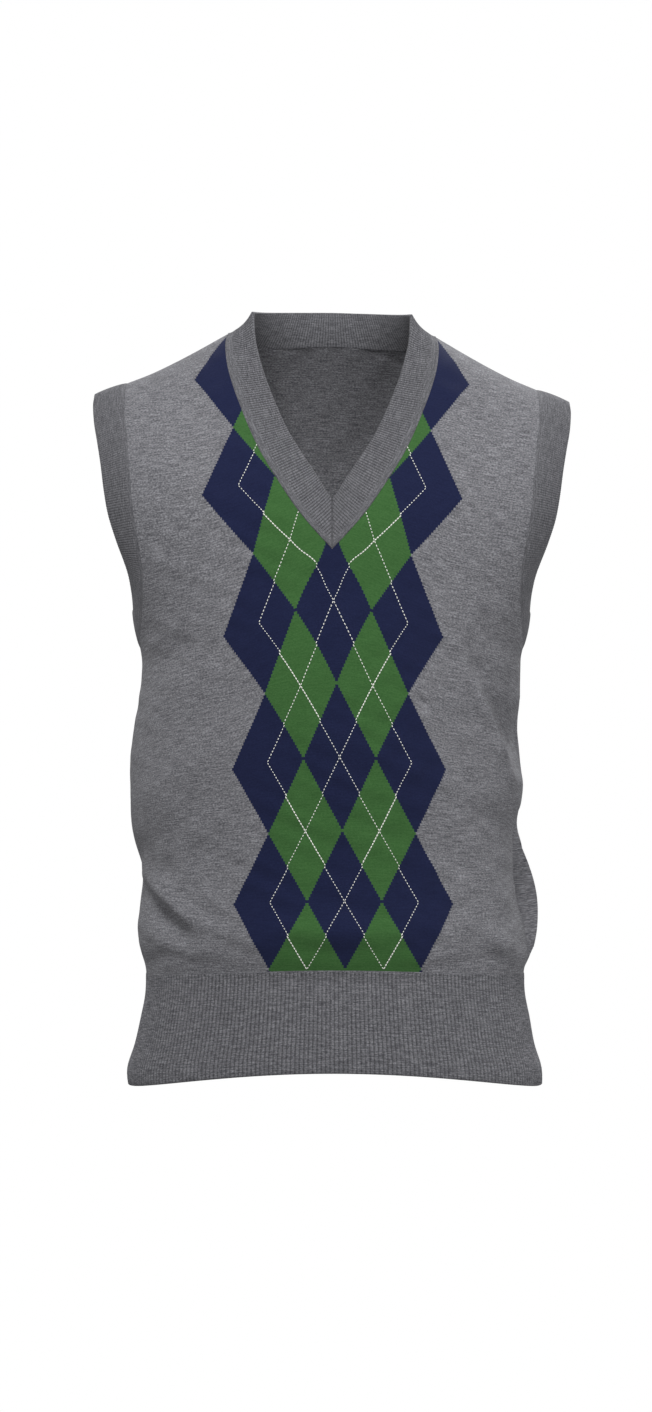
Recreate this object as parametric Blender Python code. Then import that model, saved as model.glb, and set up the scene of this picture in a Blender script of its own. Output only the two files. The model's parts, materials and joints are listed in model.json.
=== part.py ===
# Knitted V-neck vest with an argyle front, hollow, as it hangs on a general figure.
# Metres, +Z up, the front faces -Y and the vest's own left, as worn, is +X.
# The origin is on the middle line, level with the shoulder ridge beside the neck.
#
# The outer face of every piece follows one body surface.  Front and back are
# plain knit walls, the neckband, the armbands and the hem are ribbed walls whose
# ridges are raised on the outer face over a plain inner face.

import bpy
import numpy as np

MM = 0.001
FRONT = -1
BACK = 1
RIGHT = -1
LEFT = 1

# The cloth
PANEL_WALL = 1.8 * MM
RIB_WALL = 2.2 * MM
SEAM_GAP = 0.3 * MM
HEM_RIB_RAISE = 0.5 * MM
BAND_RIB_RAISE = 0.5 * MM
ARMBAND_CROWN = 1.0 * MM
ARMBAND_WIDTH = 30.0 * MM

# How many steps the meshes take
HALF_COLUMNS = 14
BAND_COLUMNS_PER_STEP = 8
HEM_COLUMNS_PER_STEP = 10
HEM_ROWS = 4
FINE_SAMPLES = 160
RIM_PASSES = 3
LEVEL_PASSES = 12
SHARP_DEGREES = 50

# Every section of the body is this kind of rounded oval: 2 is an ellipse.
SECTION_POWER = 2.4

# The rows of the panels hang as curves: 1 is a straight line from the middle to
# the side, and more keeps the middle flatter.
ROW_POWER = 1.8


def table(names, rows, unit=MM):
    columns = {}
    for index, name in enumerate(names):
        columns[name] = np.array([row[index] for row in rows], dtype=float) * unit
    return columns


# Half breadths and depths of the body at each level, in mm.
# right and left are as worn, front and back are measured from the side seams.
BODY = table(
    ("level", "right", "left", "front", "back"),
    [
        (-625, 165, 171, 121, 119),
        (-605, 167, 171, 120, 118),
        (-585, 161, 165, 119, 115),
        (-563, 156, 161, 117, 111),
        (-541, 152, 157, 115, 107),
        (-526, 152, 157, 113, 104),
        (-510, 156, 160, 117, 106),
        (-494, 159, 160, 118, 106),
        (-468, 157, 156, 116, 102),
        (-441, 154, 153, 114, 98),
        (-405, 163, 151, 114, 98),
        (-379, 165, 156, 115, 101),
        (-349, 165, 154, 116, 106),
        (-325, 162, 152, 116, 110),
        (-303, 158, 154, 116, 113),
        (-262, 157, 156, 114, 115),
        (-249, 161, 160, 113, 115),
        (-232, 168, 167, 111, 115),
        (-212, 180, 179, 108, 114),
        (-190, 193, 192, 106, 113),
        (-155, 212, 211, 101, 110),
        (-110, 235, 235, 94, 105),
        (-60, 250, 250, 86, 99),
        (0, 255, 255, 80, 92),
        (40, 255, 255, 76, 88),
    ],
)

# The ridge of the shoulders, in mm, from the middle line outwards.
RIDGE = table(
    ("x", "y", "z"),
    [
        (0, 15, 30),
        (40, 15, 19),
        (66, 14, 7),
        (86, 12, -4),
        (110, 9, -18),
        (130, 7, -29),
        (150, 4, -39),
        (167, 2, -46),
        (185, 0, -54),
    ],
)

# How the cloth rolls over the ridge: it reaches the body's full depth after
# this drop, in mm, with this roundness.  Middle line and shoulder tip.
ROLL_DROP = {FRONT: (200 * MM, 122 * MM), BACK: (150 * MM, 120 * MM)}
ROLL_POWER = {FRONT: (1.3, 2.1), BACK: (1.8, 2.1)}
SHOULDER_TIP_X = 167 * MM

# The neck seam and the free edge of the neckband, in mm.  The seam lies on the
# body surface, so it needs no y.  The front runs from the point of the V to the
# shoulder seam, the back from the middle line to the shoulder seam.  crown is how
# far the band's middle stands out, or in where the band turns up round the neck.
NECK_NAMES = ("seam_x", "seam_z", "edge_x", "edge_y", "edge_z", "crown")
NECK = {
    FRONT: table(
        NECK_NAMES,
        [
            (0, -183, 0, -93, -143, 0.8),
            (9.5, -173, 4, -91, -136.5, 0.8),
            (28.5, -150.5, 13, -84.5, -121.5, 0.8),
            (43.2, -128.5, 22.5, -77, -107, 0.8),
            (58.6, -103, 34.5, -66, -87.5, 0.5),
            (73.7, -68.4, 47, -48.5, -59.5, -0.5),
            (84.6, -35.4, 57, -30.5, -31.5, -1.5),
            (87.4, -14, 63, -13, -6.5, -2.5),
            (86, -4, 65, 3, 14.5, -3.0),
        ],
    ),
    BACK: table(
        NECK_NAMES,
        [
            (0, -8, 0, 62.5, 19, -1.5),
            (22, -9, 17, 60.5, 18.7, -1.5),
            (44, -10.5, 34, 55, 18.2, -1.8),
            (62, -11, 48, 46.5, 17.5, -2.2),
            (76, -10, 58.5, 35.5, 16.8, -2.6),
            (84, -7, 64.3, 20, 16, -3.0),
            (86, -4, 65, 3, 14.5, -3.0),
        ],
    ),
}

# The armhole seams, in mm, from the underarm to the shoulder tip.
UNDERARM_X = 157 * MM
ARMHOLE = {
    FRONT: table(
        ("x", "z"),
        [
            (157, -262),
            (155.6, -249),
            (153.5, -232),
            (152.5, -212),
            (153.5, -194),
            (156.5, -175),
            (160, -155),
            (162, -135),
            (164, -110),
            (166, -90),
            (168, -72),
            (168.5, -58),
            (167, -46),
        ],
    ),
    BACK: table(
        ("x", "z"),
        [
            (157, -262),
            (156.3, -250),
            (155.5, -235),
            (155, -215),
            (155.5, -190),
            (157, -162),
            (159, -135),
            (162, -105),
            (165, -80),
            (167.5, -60),
            (167, -46),
        ],
    ),
}

# How far each armband turns into its armhole, in degrees from straight out,
# by how far round the half ring from the underarm (0) to the shoulder tip (1).
ARMBAND_TURN = {
    FRONT: table(
        ("round", "degrees"),
        [(0, 78), (0.12, 78), (0.28, 66), (0.4, 53), (0.52, 43), (0.7, 36), (0.86, 28), (1, 20)],
        1.0,
    ),
    BACK: table(
        ("round", "degrees"),
        [(0, 78), (0.12, 76), (0.28, 64), (0.45, 50), (0.6, 42), (0.75, 36), (0.88, 28), (1, 20)],
        1.0,
    ),
}

# Rows of the panels: level on the middle line, level at the side, steps up to
# the next line.  The five lines are the hem seam, the waist, the underarm, the
# bottom of the neck and the shoulder seam.  The levels of the neck and of the
# shoulder tip come from their own tables.
FRONT_LINES = [(-519, -526, 8), (-428, -440, 8), (-250, -262, 4), (-183, -205, 10), (-4, -46, 0)]
BACK_LINES = [(-524, -526, 8), (-432, -440, 8), (-250, -262, 8), (-8, -118, 5), (-4, -46, 0)]
LINES = {FRONT: FRONT_LINES, BACK: BACK_LINES}
UNDERARM_ROW = FRONT_LINES[0][2] + FRONT_LINES[1][2]

# The lower edge of the hem, in mm: middle line and side.
HEM_EDGE = {FRONT: (-601 * MM, -618 * MM), BACK: (-610 * MM, -618 * MM)}

# The largest folds, in mm: which panel, from where to where, half width across
# and height.  A minus height is a trough.
FOLDS = [
    (FRONT, (-152, -440), (-108, -484), 9, 4.5),
    (FRONT, (-156, -460), (-116, -500), 9, -6.0),
    (FRONT, (-150, -520), (-128, -508), 6, -2.5),
    (FRONT, (117, -288), (146, -372), 9, 4.0),
    (FRONT, (137, -292), (153, -352), 9, -5.0),
    (FRONT, (128, -487), (150, -518), 8, 3.5),
    (FRONT, (112, -492), (132, -521), 8, -2.5),
    (FRONT, (150, -404), (155, -500), 9, -5.0),
    (BACK, (152, -425), (154, -512), 15, 13.0),
    (BACK, (-148, -380), (-150, -440), 14, 4.0),
    (BACK, (-110, -440), (60, -470), 14, 4.0),
    (BACK, (90, -478), (-70, -502), 11, -3.5),
    (BACK, (-132, -262), (-96, -312), 12, 3.0),
    (BACK, (132, -266), (100, -322), 12, 3.0),
]

# A fold has this share of its height at its ends, and none at a panel's lowest
# seam, from which it rises over this many rows.
FOLD_END_SHARE = 0.35
FOLD_FADE_ROWS = 2

# The left shoulder hangs lower: by this much at the tip, fading out
# downwards between two levels.
LEFT_DROP = 5.5 * MM
DROP_FULL_LEVEL = -90 * MM
DROP_NONE_LEVEL = -320 * MM

COLOURS = {
    "front": (0.150, 0.150, 0.160),
    "back": (0.150, 0.150, 0.160),
    "neckband": (0.135, 0.135, 0.143),
    "armband_right": (0.122, 0.122, 0.128),
    "armband_left": (0.122, 0.122, 0.128),
    "hem_rib_front": (0.118, 0.118, 0.125),
    "hem_rib_back": (0.118, 0.118, 0.125),
}
KNIT_ROUGHNESS = 0.9


def unit(vectors):
    length = np.linalg.norm(vectors, axis=-1, keepdims=True)
    return vectors / np.maximum(length, 1e-9)


def mix(a, b, share):
    return a + (b - a) * share


def smooth(stations, values, at):
    # A cubic through the table's rows, with slopes from their neighbours.
    at = np.clip(np.asarray(at, dtype=float), stations[0], stations[-1])
    slopes = np.gradient(values, stations, axis=0)
    low = np.clip(np.searchsorted(stations, at) - 1, 0, len(stations) - 2)
    span = stations[low + 1] - stations[low]
    t = (at - stations[low]) / span
    if np.ndim(values) > 1:
        t = t[..., None]
        span = span[..., None]
    start = (1 + 2 * t) * (1 - t) ** 2 * values[low]
    leave = t * (1 - t) ** 2 * span * slopes[low]
    end = t * t * (3 - 2 * t) * values[low + 1]
    arrive = t * t * (t - 1) * span * slopes[low + 1]
    return start + leave + end + arrive


def along(points):
    # Distance run along a line of points, from 0 to 1.
    steps = np.linalg.norm(np.diff(points, axis=0), axis=-1)
    run = np.concatenate(([0.0], np.cumsum(steps)))
    return run / run[-1]


def half_breadth(hand, level):
    name = "right" if hand == RIGHT else "left"
    return smooth(BODY["level"], BODY[name], level)


def ridge(name, x):
    return smooth(RIDGE["x"], RIDGE[name], np.abs(x))


def body_y(side, hand, x, level):
    # Depth of the body surface at a place of the front or back view.
    breadth = half_breadth(hand, level)
    across = np.minimum(np.abs(x) / breadth, 1.0)
    bend = (1 - across ** SECTION_POWER) ** (1 / SECTION_POWER)
    out = np.minimum(np.abs(x) / SHOULDER_TIP_X, 1.0)
    drop = np.maximum(ridge("z", x) - level, 0.0)
    share = np.minimum(drop / mix(*ROLL_DROP[side], out), 1.0)
    power = mix(*ROLL_POWER[side], out)
    roll = (1 - (1 - share) ** power) ** (1 / power)
    name = "front" if side == FRONT else "back"
    depth = smooth(BODY["level"], BODY[name], level)
    return ridge("y", x) * (1 - roll) + side * depth * bend * roll


def neck_line(side, hand, share):
    # Seam points, free-edge points and crown of the neckband, by share of the seam.
    rows = NECK[side]
    seam_y = body_y(side, hand, rows["seam_x"], rows["seam_z"])
    seam = np.stack([hand * rows["seam_x"], seam_y, rows["seam_z"]], axis=-1)
    edge = np.stack([hand * rows["edge_x"], rows["edge_y"], rows["edge_z"]], axis=-1)
    run = along(seam)
    return smooth(run, seam, share), smooth(run, edge, share), smooth(run, rows["crown"], share)


def armhole_line(side, hand, share):
    rows = ARMHOLE[side]
    scale = half_breadth(hand, rows["z"][0]) / UNDERARM_X
    x = mix(rows["x"] * scale, rows["x"], np.linspace(0, 1, len(rows["x"])))
    y = body_y(side, hand, x, rows["z"])
    run = along(np.stack([x, y, rows["z"]], axis=-1))
    return smooth(run, x, share), smooth(run, rows["z"], share)


def armhole_share(side, hand, level):
    shares = np.linspace(0, 1, FINE_SAMPLES)
    return np.interp(level, armhole_line(side, hand, shares)[1], shares)


def row_ends(side, hand):
    # For each row of a half panel: inner x and level, outer x and level, and
    # how much the row follows the shoulder ridge.
    lines = LINES[side]
    ends = []
    for index in range(len(lines) - 1):
        inner_low, outer_low, steps = lines[index]
        inner_high, outer_high, _ = lines[index + 1]
        last = index == len(lines) - 2
        for step in range(steps + (1 if last else 0)):
            share = step / steps
            if last:
                seam, _, _ = neck_line(side, hand, np.array([share]))
                inner = (abs(seam[0, 0]), seam[0, 2])
            else:
                inner = (0.0, mix(inner_low, inner_high, share) * MM)
            if index < 2:
                level = mix(outer_low, outer_high, share) * MM
                outer = (float(half_breadth(hand, level)), level)
            else:
                low = armhole_share(side, hand, outer_low * MM)
                high = armhole_share(side, hand, outer_high * MM)
                x, level = armhole_line(side, hand, mix(low, high, share))
                outer = (float(x), float(level))
            ends.append((inner, outer, share if last else 0.0))
    return ends


def row_points(side, hand, inner, outer, ridge_share, columns):
    # Points of one row, evenly spaced along the cloth.
    power = 2 / SECTION_POWER

    def turn_of(x, level):
        return np.arcsin(np.clip(x / half_breadth(hand, level), 0, 1) ** (1 / power))

    turn = np.linspace(turn_of(*inner), turn_of(*outer), FINE_SAMPLES)
    level = np.linspace(inner[1], outer[1], FINE_SAMPLES)
    for _ in range(LEVEL_PASSES):
        x = half_breadth(hand, level) * np.sin(turn) ** power
        share = np.clip((x - inner[0]) / (outer[0] - inner[0]), 0, 1)
        fall = ridge("z", inner[0]) - ridge("z", outer[0])
        ridge_way = (ridge("z", inner[0]) - ridge("z", x)) / fall
        way = mix(share ** ROW_POWER, ridge_way, ridge_share)
        level = inner[1] + (outer[1] - inner[1]) * way
    x[0], x[-1] = inner[0], outer[0]
    y = body_y(side, hand, x, level)
    points = np.stack([hand * x, y, level], axis=-1)
    wanted = np.linspace(0, 1, columns + 1)
    run = along(points)
    return np.stack([np.interp(wanted, run, points[:, axis]) for axis in range(3)], axis=-1)


def half_panel(side, hand):
    rows = []
    for inner, outer, ridge_share in row_ends(side, hand):
        rows.append(row_points(side, hand, inner, outer, ridge_share, HALF_COLUMNS))
    return np.array(rows)


def grid_normals(side, hand, grid, neck_row, other):
    # Outward normals of a half panel.  Below the neck the middle column sees
    # the other half too.
    across = np.gradient(grid, axis=1, edge_order=2)
    across[: neck_row + 1, 0] = (grid[: neck_row + 1, 1] - other[: neck_row + 1, 1]) / 2
    up = np.gradient(grid, axis=0, edge_order=2)
    return unit(np.cross(across, up)) * hand * -side


def fold_height(side, points):
    height = np.zeros(points.shape[:-1])
    for where, start, end, width, size in FOLDS:
        if where != side:
            continue
        a = np.array(start) * MM
        b = np.array(end) * MM
        place = points[..., (0, 2)] - a
        length = np.linalg.norm(b - a)
        direction = (b - a) / length
        share = (place @ direction) / length
        off = place @ np.array((-direction[1], direction[0])) / (width * MM)
        middle = np.clip(share, 0, 1)
        past = (share - middle) * length / (width * MM)
        ease = mix(FOLD_END_SHARE, 1, np.sin(np.pi * middle))
        height += size * MM * ease * np.exp(-off ** 2 - past ** 2)
    return height


def make_panels():
    # Half panels of the front and back, folded, with their shared seams made one.
    grids = {}
    neck_rows = {}
    for side in (FRONT, BACK):
        neck_rows[side] = sum(line[2] for line in LINES[side][:3])
        for hand in (RIGHT, LEFT):
            grids[side, hand] = half_panel(side, hand)
    normals = all_normals(grids, neck_rows)
    for key, grid in grids.items():
        rows = len(grid)
        fade = np.minimum(np.arange(rows) / FOLD_FADE_ROWS, 1.0)[:, None]
        height = fold_height(key[0], grid) * fade
        grids[key] = grid + normals[key] * height[..., None]
    for hand in (RIGHT, LEFT):
        join(grids, hand)
    for side in (FRONT, BACK):
        middle = slice(0, neck_rows[side] + 1)
        shared = (grids[side, RIGHT][middle, 0] + grids[side, LEFT][middle, 0]) / 2
        grids[side, RIGHT][middle, 0] = shared
        grids[side, LEFT][middle, 0] = shared
    normals = all_normals(grids, neck_rows)
    for hand in (RIGHT, LEFT):
        join(normals, hand)
    for key in normals:
        normals[key] = unit(normals[key])
    for hand in (RIGHT, LEFT):
        for _ in range(RIM_PASSES):
            even_rim(normals, hand, 0, neck_rows)
            even_rim(normals, hand, -1, {FRONT: UNDERARM_ROW, BACK: UNDERARM_ROW})
    return grids, normals, neck_rows


def even_rim(normals, hand, column, first_rows):
    # Turns each direction along a neck or armhole seam a little to its
    # neighbours, over the shoulder seam too, so the walls meet without a twist.
    front = normals[FRONT, hand][first_rows[FRONT] :, column]
    back = normals[BACK, hand][first_rows[BACK] :, column]
    line = np.concatenate([front, back[::-1][1:]])
    line[1:-1] = unit(line[:-2] + 2 * line[1:-1] + line[2:])
    front[:] = line[: len(front)]
    back[:] = line[len(front) - 1 :][::-1]


def all_normals(grids, neck_rows):
    normals = {}
    for side, hand in grids:
        other = grids[side, -hand]
        normals[side, hand] = grid_normals(side, hand, grids[side, hand], neck_rows[side], other)
    return normals


def join(grids, hand):
    # Side seam up to the underarm, and shoulder seam.
    front = grids[FRONT, hand]
    back = grids[BACK, hand]
    side = slice(0, UNDERARM_ROW + 1)
    shared = (front[side, -1] + back[side, -1]) / 2
    front[side, -1] = shared
    back[side, -1] = shared
    shared = (front[-1] + back[-1]) / 2
    front[-1] = shared
    back[-1] = shared


def seam_steps(points, normals, closed):
    # Sideways directions along a seam, in the cloth, long enough at each corner
    # that the edge moved along them stays parallel.
    if closed:
        after = np.roll(points, -1, axis=0) - points
        facing = np.roll(normals, -1, axis=0) + normals
        sideways = unit(np.cross(facing, after))
        before = np.roll(sideways, 1, axis=0)
    else:
        after = np.diff(points, axis=0)
        facing = normals[1:] + normals[:-1]
        steps = unit(np.cross(facing, after))
        sideways = np.concatenate([steps, steps[-1:]])
        before = np.concatenate([steps[:1], steps])
    agree = np.sum(before * sideways, axis=-1, keepdims=True)
    return (before + sideways) / (1 + agree)


def settle(points):
    # Lowers the left shoulder and lifts the right one as much.
    points = np.array(points, dtype=float)
    span = DROP_FULL_LEVEL - DROP_NONE_LEVEL
    share = np.clip((points[..., 2] - DROP_NONE_LEVEL) / span, 0, 1)
    share = share * share * (3 - 2 * share)
    points[..., 2] -= LEFT_DROP / 2 * points[..., 0] / SHOULDER_TIP_X * share
    return points


def add_object(name, vertices, faces):
    mesh = bpy.data.meshes.new(name)
    mesh.from_pydata(settle(vertices).tolist(), [], faces)
    mesh.validate()
    mesh.update()
    mesh.shade_smooth()
    mesh.set_sharp_from_angle(angle=np.radians(SHARP_DEGREES))
    piece = bpy.data.objects.new(name, mesh)
    bpy.context.scene.collection.objects.link(piece)
    material = bpy.data.materials.new(name)
    material.use_nodes = True
    shader = material.node_tree.nodes["Principled BSDF"]
    shader.inputs["Base Color"].default_value = (*COLOURS[name], 1.0)
    shader.inputs["Roughness"].default_value = KNIT_ROUGHNESS
    shader.inputs["Metallic"].default_value = 0.0
    mesh.materials.append(material)
    return piece


def make_panel(name, side, grids, normals, neck_row):
    # One wall of even thickness: the outer face, the inner face and the rims
    # between them, drawn in from every seam by half the gap.
    number = {}
    outer = []
    facing = []
    for hand in (RIGHT, LEFT):
        rows, columns = grids[side, hand].shape[:2]
        for row in range(rows):
            for column in range(columns):
                key = (hand, row, column)
                if column == 0 and row <= neck_row and hand == LEFT:
                    number[key] = number[RIGHT, row, 0]
                    continue
                number[key] = len(outer)
                outer.append(grids[side, hand][row, column])
                facing.append(normals[side, hand][row, column])
    outer = np.array(outer)
    facing = unit(np.array(facing))
    skin = []
    for hand in (RIGHT, LEFT):
        rows, columns = grids[side, hand].shape[:2]
        for row in range(rows - 1):
            for column in range(columns - 1):
                corners = [(row, column), (row, column + 1), (row + 1, column + 1), (row + 1, column)]
                face = [number[(hand, *corner)] for corner in corners]
                if hand * -side < 0:
                    face.reverse()
                skin.append(face)
    used = {}
    for face in skin:
        for a, b in zip(face, face[1:] + face[:1]):
            used[a, b] = True
    rim = [(a, b) for a, b in used if (b, a) not in used]
    following = dict(rim)
    leading = {b: a for a, b in rim}
    drawn_in = outer.copy()
    for here in following:
        before, after = leading[here], following[here]
        corner = seam_steps(outer[[before, here, after]], facing[[before, here, after]], False)
        drawn_in[here] += corner[1] * SEAM_GAP / 2
    inner = drawn_in - facing * PANEL_WALL
    count = len(outer)
    faces = [tuple(face) for face in skin]
    faces += [tuple(count + corner for corner in reversed(face)) for face in skin]
    faces += [(b, a, count + a, count + b) for a, b in rim]
    return add_object(name, np.concatenate([drawn_in, inner]), faces)


def ribbed_wall(name, outer, inner, closed, flip):
    # outer: rows x columns of points, with ridges.  inner: rows x fewer columns.
    # The rims fan from each inner point to its share of the outer points.
    rows, columns = outer.shape[:2]
    inner_columns = inner.shape[1]
    steps = columns if closed else columns - 1
    inner_steps = inner_columns if closed else inner_columns - 1
    per = steps // inner_steps
    base = rows * columns
    faces = []

    def out(row, column):
        return row * columns + column % columns

    def into(row, column):
        return base + row * inner_columns + column % inner_columns

    def corners(place, row, column):
        low = (place(row, column), place(row, column + 1))
        return low + (place(row + 1, column + 1), place(row + 1, column))

    for row in range(rows - 1):
        faces += [corners(out, row, column) for column in range(steps)]
        faces += [corners(into, row, column)[::-1] for column in range(inner_steps)]
    half = per // 2
    for row, turned in ((0, False), (rows - 1, True)):
        fans = []
        for column in range(inner_steps):
            start = column * per
            for k in range(per):
                tip = column if k < half else column + 1
                fans.append((into(row, tip), out(row, start + k + 1), out(row, start + k)))
            fans.append((into(row, column), into(row, column + 1), out(row, start + half)))
        faces += [tuple(reversed(fan)) for fan in fans] if turned else fans
    if not closed:
        for row in range(rows - 1):
            faces.append((out(row, 0), out(row + 1, 0), into(row + 1, 0), into(row, 0)))
            ends = (out(row + 1, columns - 1), out(row, columns - 1))
            faces.append(ends + (into(row, inner_columns - 1), into(row + 1, inner_columns - 1)))
    if flip:
        faces = [tuple(reversed(face)) for face in faces]
    points = np.concatenate([outer.reshape(-1, 3), inner.reshape(-1, 3)])
    return add_object(name, points, faces)


def spread(values, per):
    # The points of a line, with straight steps put between them.
    steps = len(values) - 1
    at = np.arange(steps * per + 1) / per
    low = np.minimum(at.astype(int), steps - 1)
    share = (at - low)[:, None]
    return mix(values[low], values[low + 1], share)


def spread_smooth(values, per):
    stations = np.arange(len(values), dtype=float)
    return smooth(stations, values, np.arange((len(values) - 1) * per + 1) / per)


def make_band(name, seam, facing, edge, crown, flip):
    # A closed ribbed band.  seam and edge start and end at the same place.
    side_steps = seam_steps(seam[:-1], facing[:-1], True)
    side_steps = np.concatenate([side_steps, side_steps[:1]])
    toward = np.sign(np.sum(side_steps * (edge - seam)))
    seam_line = seam + side_steps * toward * SEAM_GAP / 2
    per = BAND_COLUMNS_PER_STEP
    fine_seam = spread(seam_line, per)[:-1]
    fine_facing = unit(spread(facing, per)[:-1])
    smooth_seam = spread_smooth(seam_line, per)[:-1]
    fine_edge = spread_smooth(edge, per)[:-1]
    run = np.roll(smooth_seam + fine_edge, -1, axis=0) - np.roll(smooth_seam + fine_edge, 1, axis=0)
    own = unit(np.cross(run, fine_edge - smooth_seam))
    own *= np.sign(np.sum(own * fine_facing, axis=-1, keepdims=True))
    ridges = (np.arange(len(fine_seam)) % 2)[:, None] * BAND_RIB_RAISE
    fine_crown = spread_smooth(crown, per)[:-1, None]
    middle = (smooth_seam + fine_edge) / 2 + own * fine_crown
    outer = np.stack([fine_seam, middle + own * ridges, fine_edge + own * ridges])
    inner = np.stack([fine_seam, middle, fine_edge])
    inner -= np.stack([fine_facing, own, own]) * RIB_WALL
    return ribbed_wall(name, outer, inner[:, ::per], True, flip)


def make_neckband(grids, normals, neck_rows):
    # Round from the point of the V over the left shoulder, the back and the right.
    parts = []
    way_round = ((FRONT, LEFT, True), (BACK, LEFT, False), (BACK, RIGHT, True), (FRONT, RIGHT, False))
    for side, hand, rising in way_round:
        rows = slice(neck_rows[side], None)
        seam = grids[side, hand][rows, 0]
        facing = normals[side, hand][rows, 0]
        _, edge, crown = neck_line(side, hand, np.linspace(0, 1, len(seam)))
        part = [seam, facing, edge, crown]
        if not rising:
            part = [values[::-1] for values in part]
        parts.append(part)
    lines = []
    for index in range(4):
        pieces = [part[index][:-1] for part in parts]
        lines.append(np.concatenate(pieces + [parts[-1][index][-1:]]))
    make_band("neckband", *lines, False)


def make_armband(name, hand, grids, normals):
    front = grids[FRONT, hand][UNDERARM_ROW:, -1]
    back = grids[BACK, hand][UNDERARM_ROW:, -1]
    seam = np.concatenate([front, back[::-1][1:]])
    front_facing = normals[FRONT, hand][UNDERARM_ROW:, -1]
    back_facing = normals[BACK, hand][UNDERARM_ROW:, -1]
    facing = np.concatenate([front_facing, back_facing[::-1][1:]])
    turn = []
    for side, line in ((FRONT, front), (BACK, back)):
        rows = ARMBAND_TURN[side]
        degrees = smooth(rows["round"], rows["degrees"], along(line))
        turn.append(degrees if side == FRONT else degrees[::-1][1:])
    turn = np.radians(np.concatenate(turn))[:, None]
    ring = seam[:-1]
    run = np.roll(ring, -1, axis=0) - np.roll(ring, 1, axis=0)
    run[:, 0] = 0
    inward = unit(np.cross(np.array((1.0, 0, 0)), run))
    middle = ring.mean(axis=0)
    inward *= np.sign(np.sum(inward * (middle - ring) * (0, 1, 1)))
    inward = np.concatenate([inward, inward[:1]])
    lateral = np.array((hand, 0.0, 0.0))
    edge = seam + ARMBAND_WIDTH * (np.cos(turn) * lateral + np.sin(turn) * inward)
    make_band(name, seam, facing, edge, np.full(len(seam), ARMBAND_CROWN), hand == LEFT)


def hem_level(side, hand, x, share, top):
    middle, edge = HEM_EDGE[side]
    across = np.minimum(np.abs(x) / half_breadth(hand, edge), 1.0)
    return mix(top, mix(edge, middle, 1 - across ** 2), share)


def lowest_row(values, side):
    # A panel's lowest row, from the right side seam to the left one.
    return np.concatenate([values[side, RIGHT][0, ::-1], values[side, LEFT][0, 1:]])


def make_hem(name, side, grids, normals):
    # Ribs hang from the panel's lower seam, which runs on round the other panel.
    top = lowest_row(grids, side)
    facing = lowest_row(normals, side)
    ring = np.concatenate([top, lowest_row(grids, -side)[::-1][1:-1]])
    ring_facing = np.concatenate([facing, lowest_row(normals, -side)[::-1][1:-1]])
    down = seam_steps(ring, ring_facing, True)[: len(top)]
    down *= np.sign(-down[HALF_COLUMNS, 2])
    per = HEM_COLUMNS_PER_STEP
    seam_line = top + down * SEAM_GAP / 2
    fine_seam = spread(seam_line, per)
    fine_facing = unit(spread(facing, per))
    rows = [fine_seam]
    count = len(fine_seam)
    for row in range(1, HEM_ROWS):
        share = row / (HEM_ROWS - 1)
        points = np.zeros((count, 3))
        for hand in (RIGHT, LEFT):
            half = slice(0, count // 2 + 1) if hand == RIGHT else slice(count // 2, count)
            points[half] = hem_row(side, hand, share, top, count // 2)
        rows.append(points)
    grid = np.array(rows)
    across = np.gradient(grid, axis=1, edge_order=2)
    up = -np.gradient(grid, axis=0, edge_order=2)
    own = unit(np.cross(across, up)) * -side
    own[0] = fine_facing
    own[1:, 0] = (-1.0, 0.0, 0.0)
    own[1:, -1] = (1.0, 0.0, 0.0)
    grid[:, 0, 1] += side * SEAM_GAP / 2
    grid[:, -1, 1] += side * SEAM_GAP / 2
    ridges = np.zeros((HEM_ROWS, count, 1)) + (np.arange(count) % 2)[:, None] * HEM_RIB_RAISE
    ridges[0] = 0
    outer = grid + own * ridges
    inner = grid - own * RIB_WALL
    return ribbed_wall(name, outer, inner[:, ::per], False, side == FRONT)


def hem_row(side, hand, share, top, columns):
    # One level of the hem for one hand, evenly spaced, from the right to the left.
    seam_middle = top[HALF_COLUMNS, 2]
    seam_side = top[0 if hand == RIGHT else -1, 2]
    turn = np.linspace(0, np.pi / 2, FINE_SAMPLES)
    level = np.full(FINE_SAMPLES, mix(seam_side, HEM_EDGE[side][1], share))
    for _ in range(LEVEL_PASSES):
        x = half_breadth(hand, level) * np.sin(turn) ** (2 / SECTION_POWER)
        across = x / x[-1]
        seam_level = mix(seam_middle, seam_side, across ** 2)
        level = hem_level(side, hand, x, share, seam_level)
    points = np.stack([hand * x, body_y(side, hand, x, level), level], axis=-1)
    points[-1, 1] = 0.0
    run = along(points)
    wanted = np.linspace(0, 1, columns + 1)
    even = np.stack([np.interp(wanted, run, points[:, axis]) for axis in range(3)], axis=-1)
    return even[::-1] if hand == RIGHT else even


def main():
    for piece in list(bpy.data.objects):
        bpy.data.objects.remove(piece, do_unlink=True)
    grids, normals, neck_rows = make_panels()
    make_panel("front", FRONT, grids, normals, neck_rows[FRONT])
    make_panel("back", BACK, grids, normals, neck_rows[BACK])
    make_neckband(grids, normals, neck_rows)
    make_armband("armband_right", RIGHT, grids, normals)
    make_armband("armband_left", LEFT, grids, normals)
    make_hem("hem_rib_front", FRONT, grids, normals)
    make_hem("hem_rib_back", BACK, grids, normals)


main()
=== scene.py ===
import json
from math import radians

import bpy
import numpy as np
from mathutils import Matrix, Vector
from numpy.linalg import norm

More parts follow.
